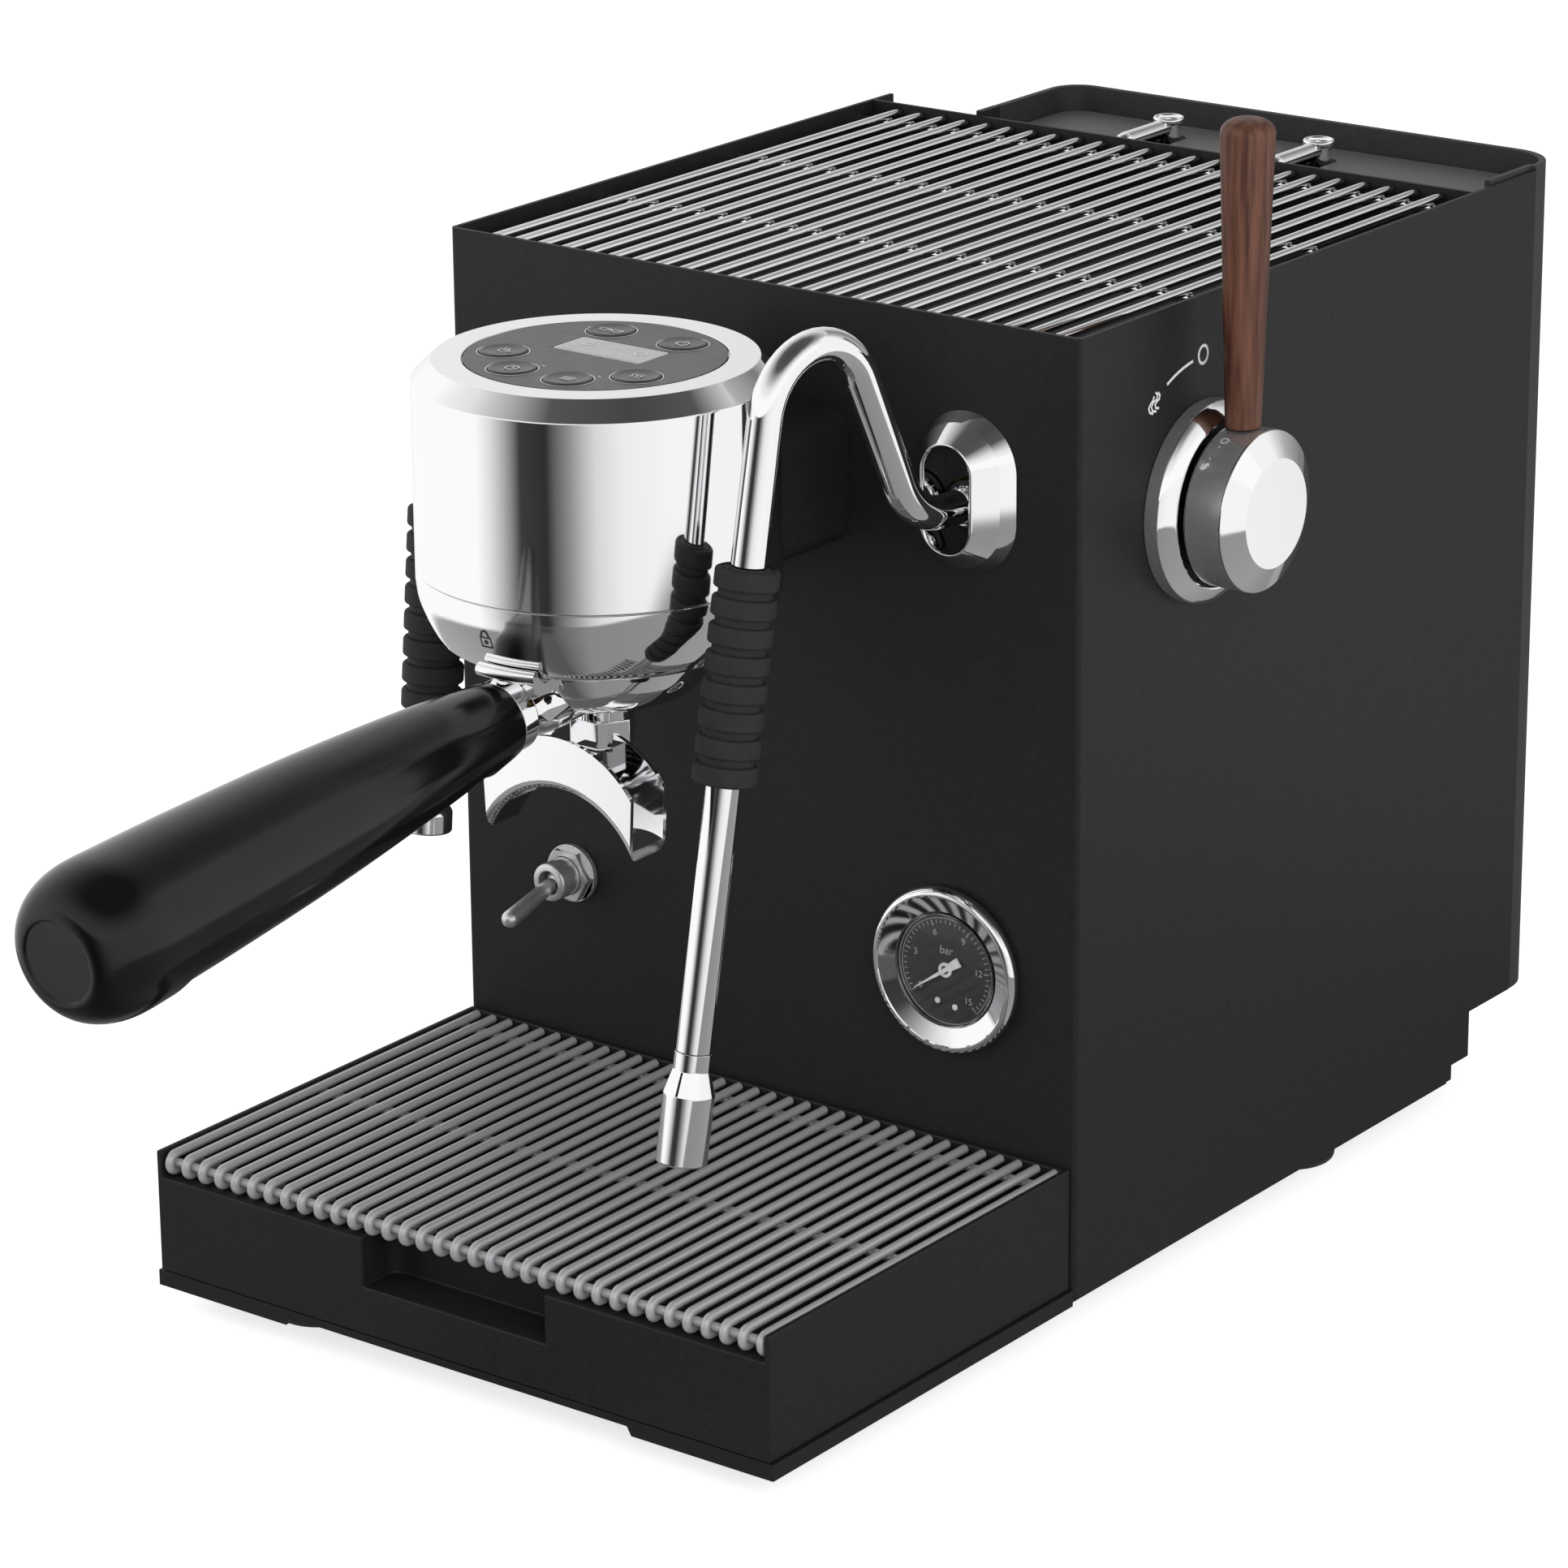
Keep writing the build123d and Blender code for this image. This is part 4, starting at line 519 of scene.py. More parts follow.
# Wire grids: hairpins over the drip tray and rods over the cup tray, each on cross rods
wire_count, wire_step, wire_top, wire_foot, wire_bend = 35, 7.0353, 55.8, 50.2, 2.79
wire_x = MID_X - (wire_count - 1) / 2 * wire_step
loop_y = FRONT_Y - 155.1
hairpin = rounded([(wire_x, FRONT_Y - 3.2, wire_top, 0), (wire_x, loop_y - 2.8, wire_top, wire_bend),
                   (wire_x, loop_y - 2.8, wire_foot, wire_bend), (wire_x, loop_y + 12, wire_foot, 0)], 9, 0)
drip_wires = rods(hairpin, 1.5, 14, satin_wire, wire_count, (wire_step, 0, 0))
cross_reach, cross_z, cross_step = 121.4, 53.0, 72.95
cross = [(MID_X + side * cross_reach, loop_y, cross_z) for side in (-1, 1)]
drip_cross = rods(cross, 1.45, 14, satin_wire, 3, (0, cross_step, 0))
piece("drip_wires", joined(drip_wires, drip_cross), "tray_grid", "polished_chrome", satin_wire, "drip_grid")
rod_count, rod_step, rod_r, rod_z = 24, 9.7174, 1.6, 326.95
rod_x = MID_X - (rod_count - 1) / 2 * rod_step
rod_end = [0.45, 0.8, 1.0, 1.0, 0.8, 0.45]
rod = [(rod_x, FRONT_Y + y, rod_z) for y in (2.5, 2.9, 3.7, 230.3, 231.1, 231.5)]
cup_wires = rods(rod, rod_r, 16, chrome_wire, rod_count, (rod_step, 0, 0), rod_end)
cross_z, cross_step = 323.9, 73.333
cross = [(MID_X + x, FRONT_Y + 7, cross_z) for x in (-123.1, -122.7, -121.9, 121.9, 122.7, 123.1)]
cup_cross = rods(cross, rod_r, 16, chrome_wire, 4, (0, cross_step, 0), rod_end)
piece("cup_wires", joined(cup_wires, cup_cross), "cup_rest", "polished_chrome", chrome_wire, "cup_grid")

# Group: turned cover with a bevelled shoulder, and the bowl-shaped skirt under its seam
top = Vector((GROUP.x, GROUP.y, 0))
cover = rounded([(55, 257.8, 0), (57, 257.8, 0.25), (57, 317.3, 0.9), (50.6, 323.4, 0.7), (41.0, 323.4, 0.4),
                 (41.0, 320.0, 0), (38.0, 320.0, 0), (38.0, 318.2, 0), (48.6, 318.2, 0), (55, 312.3, 0),
                 (55, 257.8, 0)])
chromed("group_cover_turned", turned(cover, top, UP, 160), "machine", "group_cover")
skirt = [Vector((55, 257.6)), Vector((56.7, 257.6)), Vector((57, 257.3))]
skirt += flowing([(57, 254.4), (56.2, 248.8), (54.2, 243.2), (51.9, 238.4), (50.1, 235.5)], 8)
skirt += [Vector(p) for p in ((49.4, 234.8), (48.4, 234.4), (42.4, 234.4), (42.0, 234.8), (42.0, 236.0),
                              (46.5, 236.2), (50.0, 239.3), (52.2, 243.7), (55, 253.5), (55, 257.6))]
chromed("group_skirt_turned", turned(skirt, top, UP, 160), "machine", "group_skirt")


def on_skirt(u, v):
    """A place on the skirt over the handle: u across, v up from its edge."""
    radius = 54.42 + 0.42 * (v - 9) - 0.012 * (v - 9) ** 2
    return Vector((GROUP.x + u, GROUP.y - math.sqrt(radius * radius - u * u), 234.4 + v))


padlock = [[(-2.0, 9.5), (2.0, 9.5), (2.0, 12.8), (-2.0, 12.8), (-2.0, 9.5)],
           arc(0, 13.0, 1.4, 0, 180, 14, 1.5), arc(0, 11.2, 0.45, steps=10)]
printed("lock_mark", padlock, 0.65, on_skirt, ink=dark_ink)

# Control panel: dished buttons with pale rings that are a painted highlight of their edges, icons and a
# display
cap = rounded([(0, 323.5, 0), (3.2, 323.53, 0), (5.6, 323.72, 0), (6.9, 324.0, 0.4), (7.6, 323.7, 0.3),
               (7.6, 319.6, 0), (8.5, 319.6, 0), (8.5, 316.2, 0), (0, 316.2, 0)], 5, 0.02)
cup = [[(-1.9, 0.9), (-1.6, -0.5), (-0.9, -1.2), (0.7, -1.2), (1.4, -0.5), (1.7, 0.9), (-1.9, 0.9)],
       arc(1.7, 0.0, 0.75, -80, 80, 8)]
icons = {
    "back_left": [[(u + du * 1.15, v) for u, v in line] for du in (-2.2, 1.8) for line in cup],
    "back_right": [arc(0, 0, 2.0, 115, 425, 20), [(0, 0.6), (0, 2.5)]],
    "left": cup + [[(-0.9, 1.6), (-0.6, 2.2), (-0.9, 2.8)], [(0.5, 1.6), (0.8, 2.2), (0.5, 2.8)]],
    "front_left": [arc(0, 0, 2.1), [(0, 1.3), (0, 0), (1.1, 0)]],
    "front_right": [[(-2.2, -1.2), (2.2, -1.2)], [(-2.2, 0), (2.2, 0)], [(-2.2, 1.2), (2.2, 1.2)]],
    "right": [[(du, -1.8), (du + 0.7, -0.6), (du, 0.6), (du + 0.7, 1.8)] for du in (-1.9, -0.3, 1.3)]}
rings, lamps = [], []
key_circle, dish_z, dish_rise, print_z = 29, 323.74, 0.0032, 323.46
for name, turn in (("back_right", 61), ("back_left", 119), ("left", 206), ("front_left", 248),
                   ("front_right", 292), ("right", 334)):
    u = GROUP.x + key_circle * math.cos(math.radians(turn))
    v = GROUP.y + key_circle * math.sin(math.radians(turn))
    key = "button_" + name
    piece(key + "_cap", turned(cap, (u, v, 0), UP, 64), key + "_key", "button_plastic", button_face, key)
    print_at = lambda a, b, u=u, v=v: Vector((u + a, v + b, dish_z + dish_rise * (a * a + b * b)))
    printed(key + "_icon", icons[name], 0.42, print_at, key + "_key")
    # A pale ring round each button: a painted highlight of its edge, in white
    rings.append(arc(u, v, 8.15, steps=48))
    if name in ("front_left", "front_right"):
        lamps.append([(u + 5.4, v + 8.0), (u + 6.6, v + 7.6)])
on_panel = lambda u, v: Vector((u, v, print_z))
# The pale rings round the buttons are painted highlights of their edges, laid on the panel in white
printed("button_edge_highlights", rings, 0.38, on_panel)
printed("button_lamps", lamps, 0.5, on_panel)

display = Vector((GROUP.x, GROUP.y + 7.5, print_z + 0.01))
on_display = lambda u, v: display + Vector((u, v, 0))
signs = [[(u * 0.95 + du, v * 0.95 + 1.6) for u, v in line] for du in (-10.2, 0.0) for line in cup]
signs += [arc(10.4, 1.6, 2.0, 120, 420, 18), [(10.4, 2.4), (10.4, 4.0)]]
signs += [[(-11.2, 3.4), (-10.8, 4.2), (-11.2, 5.0)], [(-9.8, 3.4), (-9.4, 4.2), (-9.8, 5.0)]]
printed("display_signs", signs, 0.75, on_display)
tick = ribbons([[(-15.6, -6.9), (-15.6, -5.9)]], 0.5, on_display)
scale = shaped(form_row, tick, Count=32, Step=Vector((1.006, 0, 0)) * MM, Finish=white_ink_and_highlight)
piece("display_scale", scale, "machine", "display", white_ink_and_highlight)

# Portafilter: turned bowl, flared neck, collar, and the long handle with its inlaid underside
drop = math.radians(5.6)
grip_axis = Vector((0, -math.cos(drop), -math.sin(drop)))
grip_up = Vector((0, -math.sin(drop), math.cos(drop)))
grip_foot = Vector((GROUP.x, GROUP.y, 224.7))
hollow = [(0, 216.7), (18, 216.7), (27.5, 220.6), (31.0, 227.0)]
bowl = [Vector(p) for p in ((31.0, 227.0), (31.0, 248.9), (34.4, 249.2), (34.6, 249.0), (34.6, 234.9),
                            (35.2, 233.8))]
bowl += flowing([(36.5, 232.9), (36.2, 228.4), (34.2, 223.4), (29.6, 218.5), (22.5, 215.4), (11.5, 212.8)], 8)
bowl += [Vector(p) for p in ((9.8, 212.5), (9.5, 212.1), (9.5, 208.2), (0, 208.2), *hollow)]
room = turned([*hollow, (31.0, 250.0), (0, 250.0)], top, UP, 96)
spine = flowing([(11.6, 18), (11.5, 28), (10.8, 35), (9.8, 40), (9.6, 44)], 6)
spine = carved(turned([(0, 18), *spine, (0, 44)], grip_foot, grip_axis, 64), room)
collar = rounded([(0, 44, 0), (10.4, 44, 0.4), (11.8, 45.4, 0.8), (11.8, 52, 0.5), (0, 52, 0)])
bead = arc(53.3, 236.0, 2.1, -75, 189, 11)
lug = [(34.5, 226.0), (45.0, 230.0), (51.0, 232.6), *bead, (50.2, 234.2), (46.0, 232.0), (34.5, 231.8)]
ears = []
for side in (-1, 1):
    ring = [(34.0, -13.5), (36.9, -13.5), (39.2, -4.5), (39.2, 4.5), (36.9, 13.5), (34.0, 13.5)]
    ears.append(prism([[(GROUP.x + side * r, GROUP.y + v, z) for r, v in ring] for z in (241.8, 246.8)]))
sections = [[(GROUP.x + r * math.cos(t), GROUP.y + r * math.sin(t), z) for r, z in lug]
            for t in turns(-95, -73, 12)]
metal = joined(turned(bowl, top, UP, 128), smoothed(spine, 40), turned(collar, grip_foot, grip_axis, 64),
               smoothed(prism(sections), 40), *ears)
chromed("portafilter_polished", metal, "portafilter", "portafilter_body")

grip_line = flowing([(12.6, 52.2), (16.4, 83.2), (20.7, 135.2), (23.2, 186), (24.4, 224)], 10)
quarter = turns(0, 90, 14)
nose = [Vector((13.2 + 11.2 * math.cos(t), 227 + 20 * math.sin(t))) for t in quarter]
nose += [Vector(p) for p in ((12.8, 246.9), (12.3, 246.4), (0, 246.2))]
grip_line = [Vector((0, 52.2)), Vector((12.0, 52.2)), Vector((12.5, 52.6))] + grip_line[1:] + nose
inlay = [Vector((max(p.x - 1.0, 0), p.y)) for p in grip_line]
half = flowing([(14.4, 64), (16.4, 83.2), (20.7, 135.2), (23.2, 186), (24.0, 210)], 6)
half = [(p.x * 0.86, p.y) for p in half]
end = [(half[-1][0] * math.cos(t), half[-1][1] + 9 * math.sin(t)) for t in turns(0, 90, 10)[1:]]
edge_line = half + end
edge_line += [(-w, t) for w, t in reversed(edge_line[:-1])]
cutter = prism([[grip_foot + grip_axis * t + Vector((w, 0, 0)) + grip_up * h for w, t in edge_line]
                for h in (-2.0, -40.0)])
cutter = carved(cutter, turned(inlay, grip_foot, grip_axis, 96))
grip = carved(turned(grip_line, grip_foot, grip_axis, 128), cutter)
piece("portafilter_grip", smoothed(grip, 30), "portafilter", "black_handle", phenolic, "portafilter_handle")

# Wands: bent tubes on their balls with ribbed rubber grips; the steam wand leans inwards
lean = math.radians(6.84)
for name, ball, outward, corners, bends, grip_from, (tip_len, tip_neck, tip_flare) in (
        ("steam", (MID_X + 83, FRONT_Y + 1, 271), (-math.sin(lean), -math.cos(lean), 0),
         ((26.3, 0), (78.4, 116.5), (130.9, -181.4)), (22, 22), 117.0, (35.5, 5.6, 7.7)),
        ("water", (MID_X - 83, FRONT_Y + 1, 271), (0, -1, 0),
         ((21.3, 0), (53.5, 46), (69.7, -122)), (14, 17), 61.3, (14.0, 3.5, 3.5))):
    ball, outward = Vector(ball), Vector(outward)
    spots = [ball + outward * out + UP * rise for out, rise in corners]
    fall = (spots[2] - spots[1]).normalized()
    tube_end = spots[2] - fall * tip_len
    route = rounded([(*(ball + outward * 2), 0), (*spots[0], bends[0]), (*spots[1], bends[1]),
                     (*tube_end, 0)], 18)
    chromed(name + "_tube", rods(route, 5.5, 40, chrome), name + "_wand", name + "_wand_tube")
    sphere = [(8 * math.sin(t), -8 * math.cos(t)) for t in turns(0, 180, 32)]
    chromed(name + "_ball", turned(sphere, ball, outward, 64), name + "_ball", name + "_wand_ball")
    sleeve = spots[1] + fall * grip_from
    rib = rounded([(8.3, -0.3, 0), (8.3, 0.0, 0), (10.0, 0.0, 1.1), (10.0, 6.15, 0.9), (8.3, 6.15, 0),
                   (8.3, 6.45, 0)], 5, 0.05)
    ribs = shaped(form_row, turned(rib, sleeve, fall, 64), Count=8, Step=fall * 8.55 * MM, Finish=rubber)
    core = turned([(5.6, 0.2), (8.4, 0.2), (8.4, 65.8), (5.6, 65.8), (5.6, 0.2)], sleeve, fall, 64)
    piece(name + "_grip", joined(core, ribs), name + "_wand", "black_rubber", rubber, name + "_wand_grip")
    wide_from = tip_neck + tip_flare + 0.2
    tip = rounded([(0, 0.2, 0), (5.8, 0.2, 0.15), (5.8, tip_neck + 0.2, 2.0), (8.0, wide_from, 2.0),
                   (8.0, tip_len, 0.7), (1.4, tip_len, 0.3), (1.4, tip_len - 6, 0), (0, tip_len - 6, 0)],
                  7, 0.02)
    chromed(name + "_tip", turned(tip, tube_end, fall, 64), name + "_wand", name + "_nozzle")
    rim = rounded([(8.4, 8.9, 0.2, 0), (18.5, 7.5, 0.2, 0), (15.75, 7.5, 5.0, 1.6), (9.6, 8.1, 12.4, 0.9),
                   (8.4, 8.9, 11.7, 0.5), (8.4, 8.9, 0.2, 0)])
    chromed(name + "_escutcheon", stadium(rim, (ball.x, FRONT_Y, 275.0), 96), "machine",
            name + "_wand_escutcheon")

# Steam lever: plate, knob with its marks, walnut stick
hub = Vector((RIGHT_X, FRONT_Y + 68, 263.4))
side_axis = Vector((1, 0, 0))
plate = [Vector(p) for p in ((26.6, 0.2), (32.7, 0.2), (32.7, 4.9), (32.6, 5.15))]
plate += flowing([(32.4, 5.4), (31.2, 6.6), (29.5, 7.8), (27.9, 8.75)], 6)
plate += [Vector(p) for p in ((27.4, 8.95), (26.9, 8.8), (26.6, 8.3), (26.6, 0.2))]
chromed("lever_plate_turned", turned(plate, hub, side_axis, 128), "machine", "lever_plate")
knob = rounded([(0, -26, 0), (4, -26, 0.5), (4, 1, 0), (22, 1, 0.4), (22, 9.8, 0), (25.2, 9.8, 0.1),
                (26, 10.6, 0.2), (26, 24, 0.4), (17.6, 28.2, 0.4), (0, 28.2, 0)])
chromed("steam_knob_turned", turned(knob, hub, side_axis, 128), "steam_lever", "steam_knob")
bands = [[(25.4, 11.0), (26.02, 11.0), (26.02, 23.4), (25.4, 23.4), (25.4, 11.0)],
         [(32.0, 0.3), (32.72, 0.3), (32.72, 4.8), (32.0, 4.8), (32.0, 0.3)]]
piece("knob_band", turned(bands[0], hub, side_axis, 128), "steam_lever", "polished_chrome", satin_nickel)
piece("plate_band", turned(bands[1], hub, side_axis, 128), "machine", "polished_chrome", satin_nickel)
stick = rounded([(0, -10, 0), (3, -10, 0), (3, 0, 0), (5.7, 0, 0.6), (8.7, 93.4, 0)])
stick += [Vector((8.7 * math.cos(t) ** 0.7, 93.4 + 5.2 * math.sin(t))) for t in quarter[1:-1]]
stick.append(Vector((0, 98.6)))
stick_foot = hub + Vector((15.2, 0, 26.2))
piece("lever_stick", turned(stick, stick_foot, UP, 64), "steam_lever", "walnut", walnut, "lever_handle")
steam_sign = [[(0.6, -2.6), (-1.0, -2.2), (-1.6, -0.9), (-0.6, 0.2), (0.9, 0.6), (1.5, 1.7), (0.6, 2.6)],
              [(1.9, -2.0), (0.5, -1.6), (0.2, -0.7), (1.0, 0.0), (2.2, 0.5), (2.5, 1.5), (1.8, 2.3)],
              [(-0.9, -2.9), (-2.3, -2.4), (-2.9, -1.2), (-2.0, 0.0), (-0.9, 0.6), (-0.3, 1.6)]]
on_side = lambda u, v: hub + Vector((0.06, u, v))
marks = [arc(0, 47.2, 2.6, steps=28, squash=1.1), arc(0, 0, 46.6, 97.5, 115.5, 10)]
printed("lever_marks", marks, 1.0, on_side)
side_sign = [[(u * 1.15 - 27.2, v * 1.15 + 37.7) for u, v in line] for line in steam_sign]
printed("steam_mark", side_sign, 0.8, on_side)


def on_band(u, v):
    """A place on the knob's band: v along its axis, u round it from the top, towards the front."""
    radius = 26.08
    turn = u / 26.0
    return hub + Vector((v, -radius * math.sin(turn), radius * math.cos(turn)))


band = [arc(10.6, 15.2, 1.2, steps=24), [(13.4, 15.0), (18.9, 14.2)]]
band += [[(21.6 - u * 0.45, 13.8 + v * 0.45) for u, v in line] for line in steam_sign]
printed("knob_marks", band, 0.35, on_band, "steam_lever")

# Toggle switch: body, threaded bushing, washer, nut and bat
toggle = Vector((MID_X - 78.0, FRONT_Y, LOW_ROW))
bushing = [(0, -24.0), (4.5, -24.0), (4.5, -1.7), (6.3, -1.7), (6.3, 5.2), (6.6, 5.4), (6.6, 13.2),
           (6.4, 13.7), (5.9, 14.0), (4.2, 14.0), (4.2, 5.7), (0, 5.7)]
case = block(toggle + Vector((-7, 1.7, -14)), toggle + Vector((7, 25.7, 14)))
bat_drop = math.radians(15)
bat_dir = Vector((0, -math.cos(bat_drop), -math.sin(bat_drop)))
bat = [(3.6 * math.sin(t), -3.6 * math.cos(t)) for t in turns(0, 180, 24)[:20]]
bat += [(2.3, 3.4), (2.5, 4.2), (3.0, 25.0)]
bat += [(3.0 * math.cos(t), 25.6 + 3.2 * math.sin(t)) for t in turns(0, 90, 8)]
for name, mesh, body, node in (
        ("toggle_bushing", joined(turned(bushing, toggle, FRONT, 64, 50), case), "machine", "toggle_switch"),
        ("toggle_nut_polished", softened("toggle_nut", 0.45), "machine", "toggle_nut"),
        ("toggle_bat_turned", turned(bat, toggle + FRONT * 9.0, bat_dir, 48, 40), "toggle", "toggle_bat")):
    piece(name, mesh, body, "polished_chrome", satin_nickel, node)

# Pressure gauge: dished bezel, printed dial, needle, glass
gauge = Vector((MID_X + 76.4, FRONT_Y, LOW_ROW))
print_out = 1.95
bezel = rounded([(0, 1.0, 0), (19.2, 1.0, 0), (19.2, 3.4, 0.2), (25.0, 5.1, 0.3), (25.4, 5.4, 0)], 5, 0.05)
bezel += [Vector((25.8 + 2.2 * math.sin(t), 2.8 + 2.6 * math.cos(t))) for t in turns(0, 180, 20)]
bezel += [Vector(p) for p in ((24, 0.2), (24, -30), (0, -30))]
chromed("gauge_bezel_turned", turned(bezel, gauge, FRONT, 128), "machine", "gauge_bezel")
dial = [(1.0, 1.1), (19.0, 1.1), (19.0, 1.9), (1.0, 1.9), (1.0, 1.1)]
piece("gauge_dial_card", turned(dial, gauge, FRONT, 96), "machine", "dial", dial_print, "gauge_dial")
on_dial = lambda u, v: gauge + Vector((u, -print_out, v))
to_dial = Matrix.Translation(on_dial(0, 0) * MM) @ Matrix.Rotation(math.pi / 2, 4, "X")
flat = lambda u, v: Vector((u, v, 0))


def on_gauge(mesh):
    """A flat print moved onto the dial."""
    mesh.transform(to_dial)
    return mesh


scale_start, scale_sweep, label_count, tick_gaps = 216, 263, 6, 40
start, label_turn = math.radians(scale_start), math.radians(scale_sweep) / (label_count - 1)
for name, inner, width, gaps in (("dial_fine_ticks", 15.6, 0.28, tick_gaps),
                                 ("dial_ticks", 14.9, 0.45, label_count - 1)):
    ray = [(r * math.cos(start), r * math.sin(start)) for r in (inner, 16.6)]
    ticks = shaped(form_ring, ribbons([ray], width, flat), Count=gaps + 1,
                   Turn=-math.radians(scale_sweep) / gaps, Finish=grey_ink)
    piece(name, on_gauge(ticks), "machine", "dial", grey_ink)
dial_rings = [arc(0, 0, 17.3, scale_start, scale_start - scale_sweep, 60), arc(0, 0, 18.4, steps=72)]
printed("dial_rings", dial_rings, 0.2, on_dial, "machine", "dial", grey_ink)


def figures(text, size, u, v):
    """Printed figures, centred at a place on the dial."""
    curve = bpy.data.curves.new("figures", "FONT")
    curve.body, curve.size, curve.align_x, curve.align_y = text, size * MM, "CENTER", "CENTER"
    mesh = applied(stand_in(curve))
    mesh.transform(Matrix.Translation(Vector((u, v, 0)) * MM))
    return mesh


label_r, label_size, label_gap = 12.6, 3.2, 3
words = [figures(str(label_gap * k), label_size, label_r * math.cos(start - k * label_turn),
                 label_r * math.sin(start - k * label_turn)) for k in range(label_count)]
words.append(figures("bar", 4.0, 0, 6.4))
piece("dial_figures", on_gauge(joined(*words)), "machine", "dial", grey_ink)
screws = [turned(rounded([(0, 0.1, 0), (1.0, 0.1, 0), (1.0, 0.4, 0.2), (0, 0.5, 0)]),
                 gauge + Vector((u, -1.8, v)), FRONT, 24) for u, v in ((-3.4, -11.2), (3.4, -12.2))]
piece("dial_screws", joined(*screws), "machine", "needle", needle_paint)
rest = math.radians(215)
spoke, wing = Vector((math.cos(rest), 0, math.sin(rest))), Vector((-math.sin(rest), 0, math.cos(rest)))
blade = [(14.5, 0.15), (2.0, 0.6), (-1.8, 0.8), (-2.4, 1.3), (-6.5, 1.6)]
blade += [(a, -b) for a, b in reversed(blade)]
needle = prism([[gauge + FRONT * out + spoke * a + wing * b for a, b in blade] for out in (2.3, 2.9)])
boss = rounded([(0.8, 2.2, 0), (2.5, 2.2, 0), (2.5, 3.0, 0.25), (1.5, 3.0, 0.1), (1.4, 2.6, 0), (0, 2.6, 0)])
shaft = [(0, 1.0), (0.75, 1.0), (0.75, 2.4), (0, 2.4)]
needle = joined(needle, turned(boss, gauge, FRONT, 48), turned(shaft, gauge, FRONT, 24))
piece("gauge_needle_blade", needle, "needle", "needle", needle_paint, "gauge_needle")
pivot = [(0, 2.5), (1.35, 2.5), (1.35, 2.75), (0, 2.8)]
piece("needle_pivot", turned(pivot, gauge, FRONT, 32), "needle", "needle", dark_ink)
pane = rounded([(0, 3.4, 0), (19.0, 3.4, 0.2), (19.0, 4.4, 0.25), (0, 4.4, 0)])
piece("gauge_pane", turned(pane, gauge, FRONT, 96), "machine", "clear_glass", gauge_pane, "gauge_glass")

# Tank pipes: dip tubes with flat collars and a bent bridge to the dock
pipe_step, bridge_z = (62.1, 0, 0), 326.3
first = Vector((MID_X - 22.6, FRONT_Y + 270.8, 0))
dip = [(0, 55.0), (4.3, 55.0), (4.3, 327.4), (5.0, 328.0), (5.5, 328.4), (5.6, 329.0), (5.5, 329.6),
       (5.1, 329.95), (4.7, 330.0), (4.3, 329.8), (4.0, 329.3), (3.9, 328.6), (3.9, 321.0), (0, 321.0)]
dips = shaped(form_row, turned(dip, first, UP, 48), Count=2, Step=Vector(pipe_step) * MM, Finish=chrome)
bend_y = FRONT_Y + 239.2
bridge = rounded([(first.x, first.y, bridge_z, 0), (first.x, bend_y, bridge_z, 5),
                  (first.x, bend_y, 314.5, 0)], 10)
bridges = rods(bridge, 3.2, 24, chrome, 2, pipe_step)
chromed("tank_pipe_pair", joined(dips, bridges), "machine", "tank_pipes")

# Screws of the rear panel: domed heads with a cross slot
lowest_screw = Vector((MID_X - 113.6, FRONT_Y + 234, 38.0))
head = turned(rounded([(0, 0.2, 0), (3.4, 0.2, 0), (3.4, 1.2, 0.5), (2.4, 2.0, 0.8), (0, 2.2, 0)]),
              lowest_screw, (0, 1, 0), 40)
for wide, tall in ((0.35, 1.7), (1.7, 0.35)):
    groove = block(lowest_screw + Vector((-wide, 1.3, -tall)), lowest_screw + Vector((wide, 4.0, tall)))
    head = carved(head, groove)
heads = shaped(form_row, head, Count=3, Step=Vector((0, 0, 132.0)) * MM, Finish=stainless)
piece("rear_screw_heads", heads, "machine", "stainless_steel", stainless, "casing_screws")

# Camera at the photograph's place, which was solved in casing widths, with its focal length in pixels
photo_width, focal_length, sensor = 1932, 7345.8266, 36.0
az, el, roll = math.radians(37.199), math.radians(19.0931), math.radians(-0.5279)
back = Vector((math.sin(az) * math.cos(el), -math.cos(az) * math.cos(el), math.sin(el)))
right = Vector((math.cos(az), math.sin(az), 0))
above = back.cross(right)
across = right * math.cos(roll) + above * math.sin(roll)
upright = above * math.cos(roll) - right * math.sin(roll)
spot = (across * 0.0276 + upright * 0.5753 + back * 7.9395) * CASING_W + Vector((MID_X, FRONT_Y, BASE_Z))
lens = bpy.data.cameras.new("camera")
lens.sensor_width, lens.lens, lens.clip_end = sensor, focal_length / photo_width * sensor, 100.0
camera = bpy.data.objects.new("camera", lens)
camera.matrix_world = Matrix((
    (across.x, upright.x, back.x, spot.x * MM), (across.y, upright.y, back.y, spot.y * MM),
    (across.z, upright.z, back.z, spot.z * MM), (0, 0, 0, 1)))
scene.collection.objects.link(camera)
scene.camera = camera

def rays(tree, *kinds):
    """A socket that is one for rays of these kinds and nought for others."""
    path = add(tree, "ShaderNodeLightPath")
    seen = path.outputs[kinds[0]]
    for kind in kinds[1:]:
        most = add(tree, "ShaderNodeMath", {"operation": "MAXIMUM"}, links={0: seen, 1: path.outputs[kind]})
        seen = most.outputs[0]
    return seen


# White studio: the world is white to the camera, to metal and to glass, and dimmer as a light
world = bpy.data.worlds.new("studio")
world.use_nodes = True
scene.world = world
sky = world.node_tree
sky.nodes.clear()
seen = rays(sky, "Is Camera Ray", "Is Glossy Ray", "Is Transmission Ray")
plain = add(sky, "ShaderNodeBackground", inputs={"Color": (1, 1, 1, 1), "Strength": 0.55})
white = add(sky, "ShaderNodeBackground", inputs={"Color": (1, 1, 1, 1), "Strength": 1.0})
both = add(sky, "ShaderNodeMixShader", links={0: seen, 1: plain.outputs[0], 2: white.outputs[0]})
add(sky, "ShaderNodeOutputWorld", links={"Surface": both.outputs[0]})

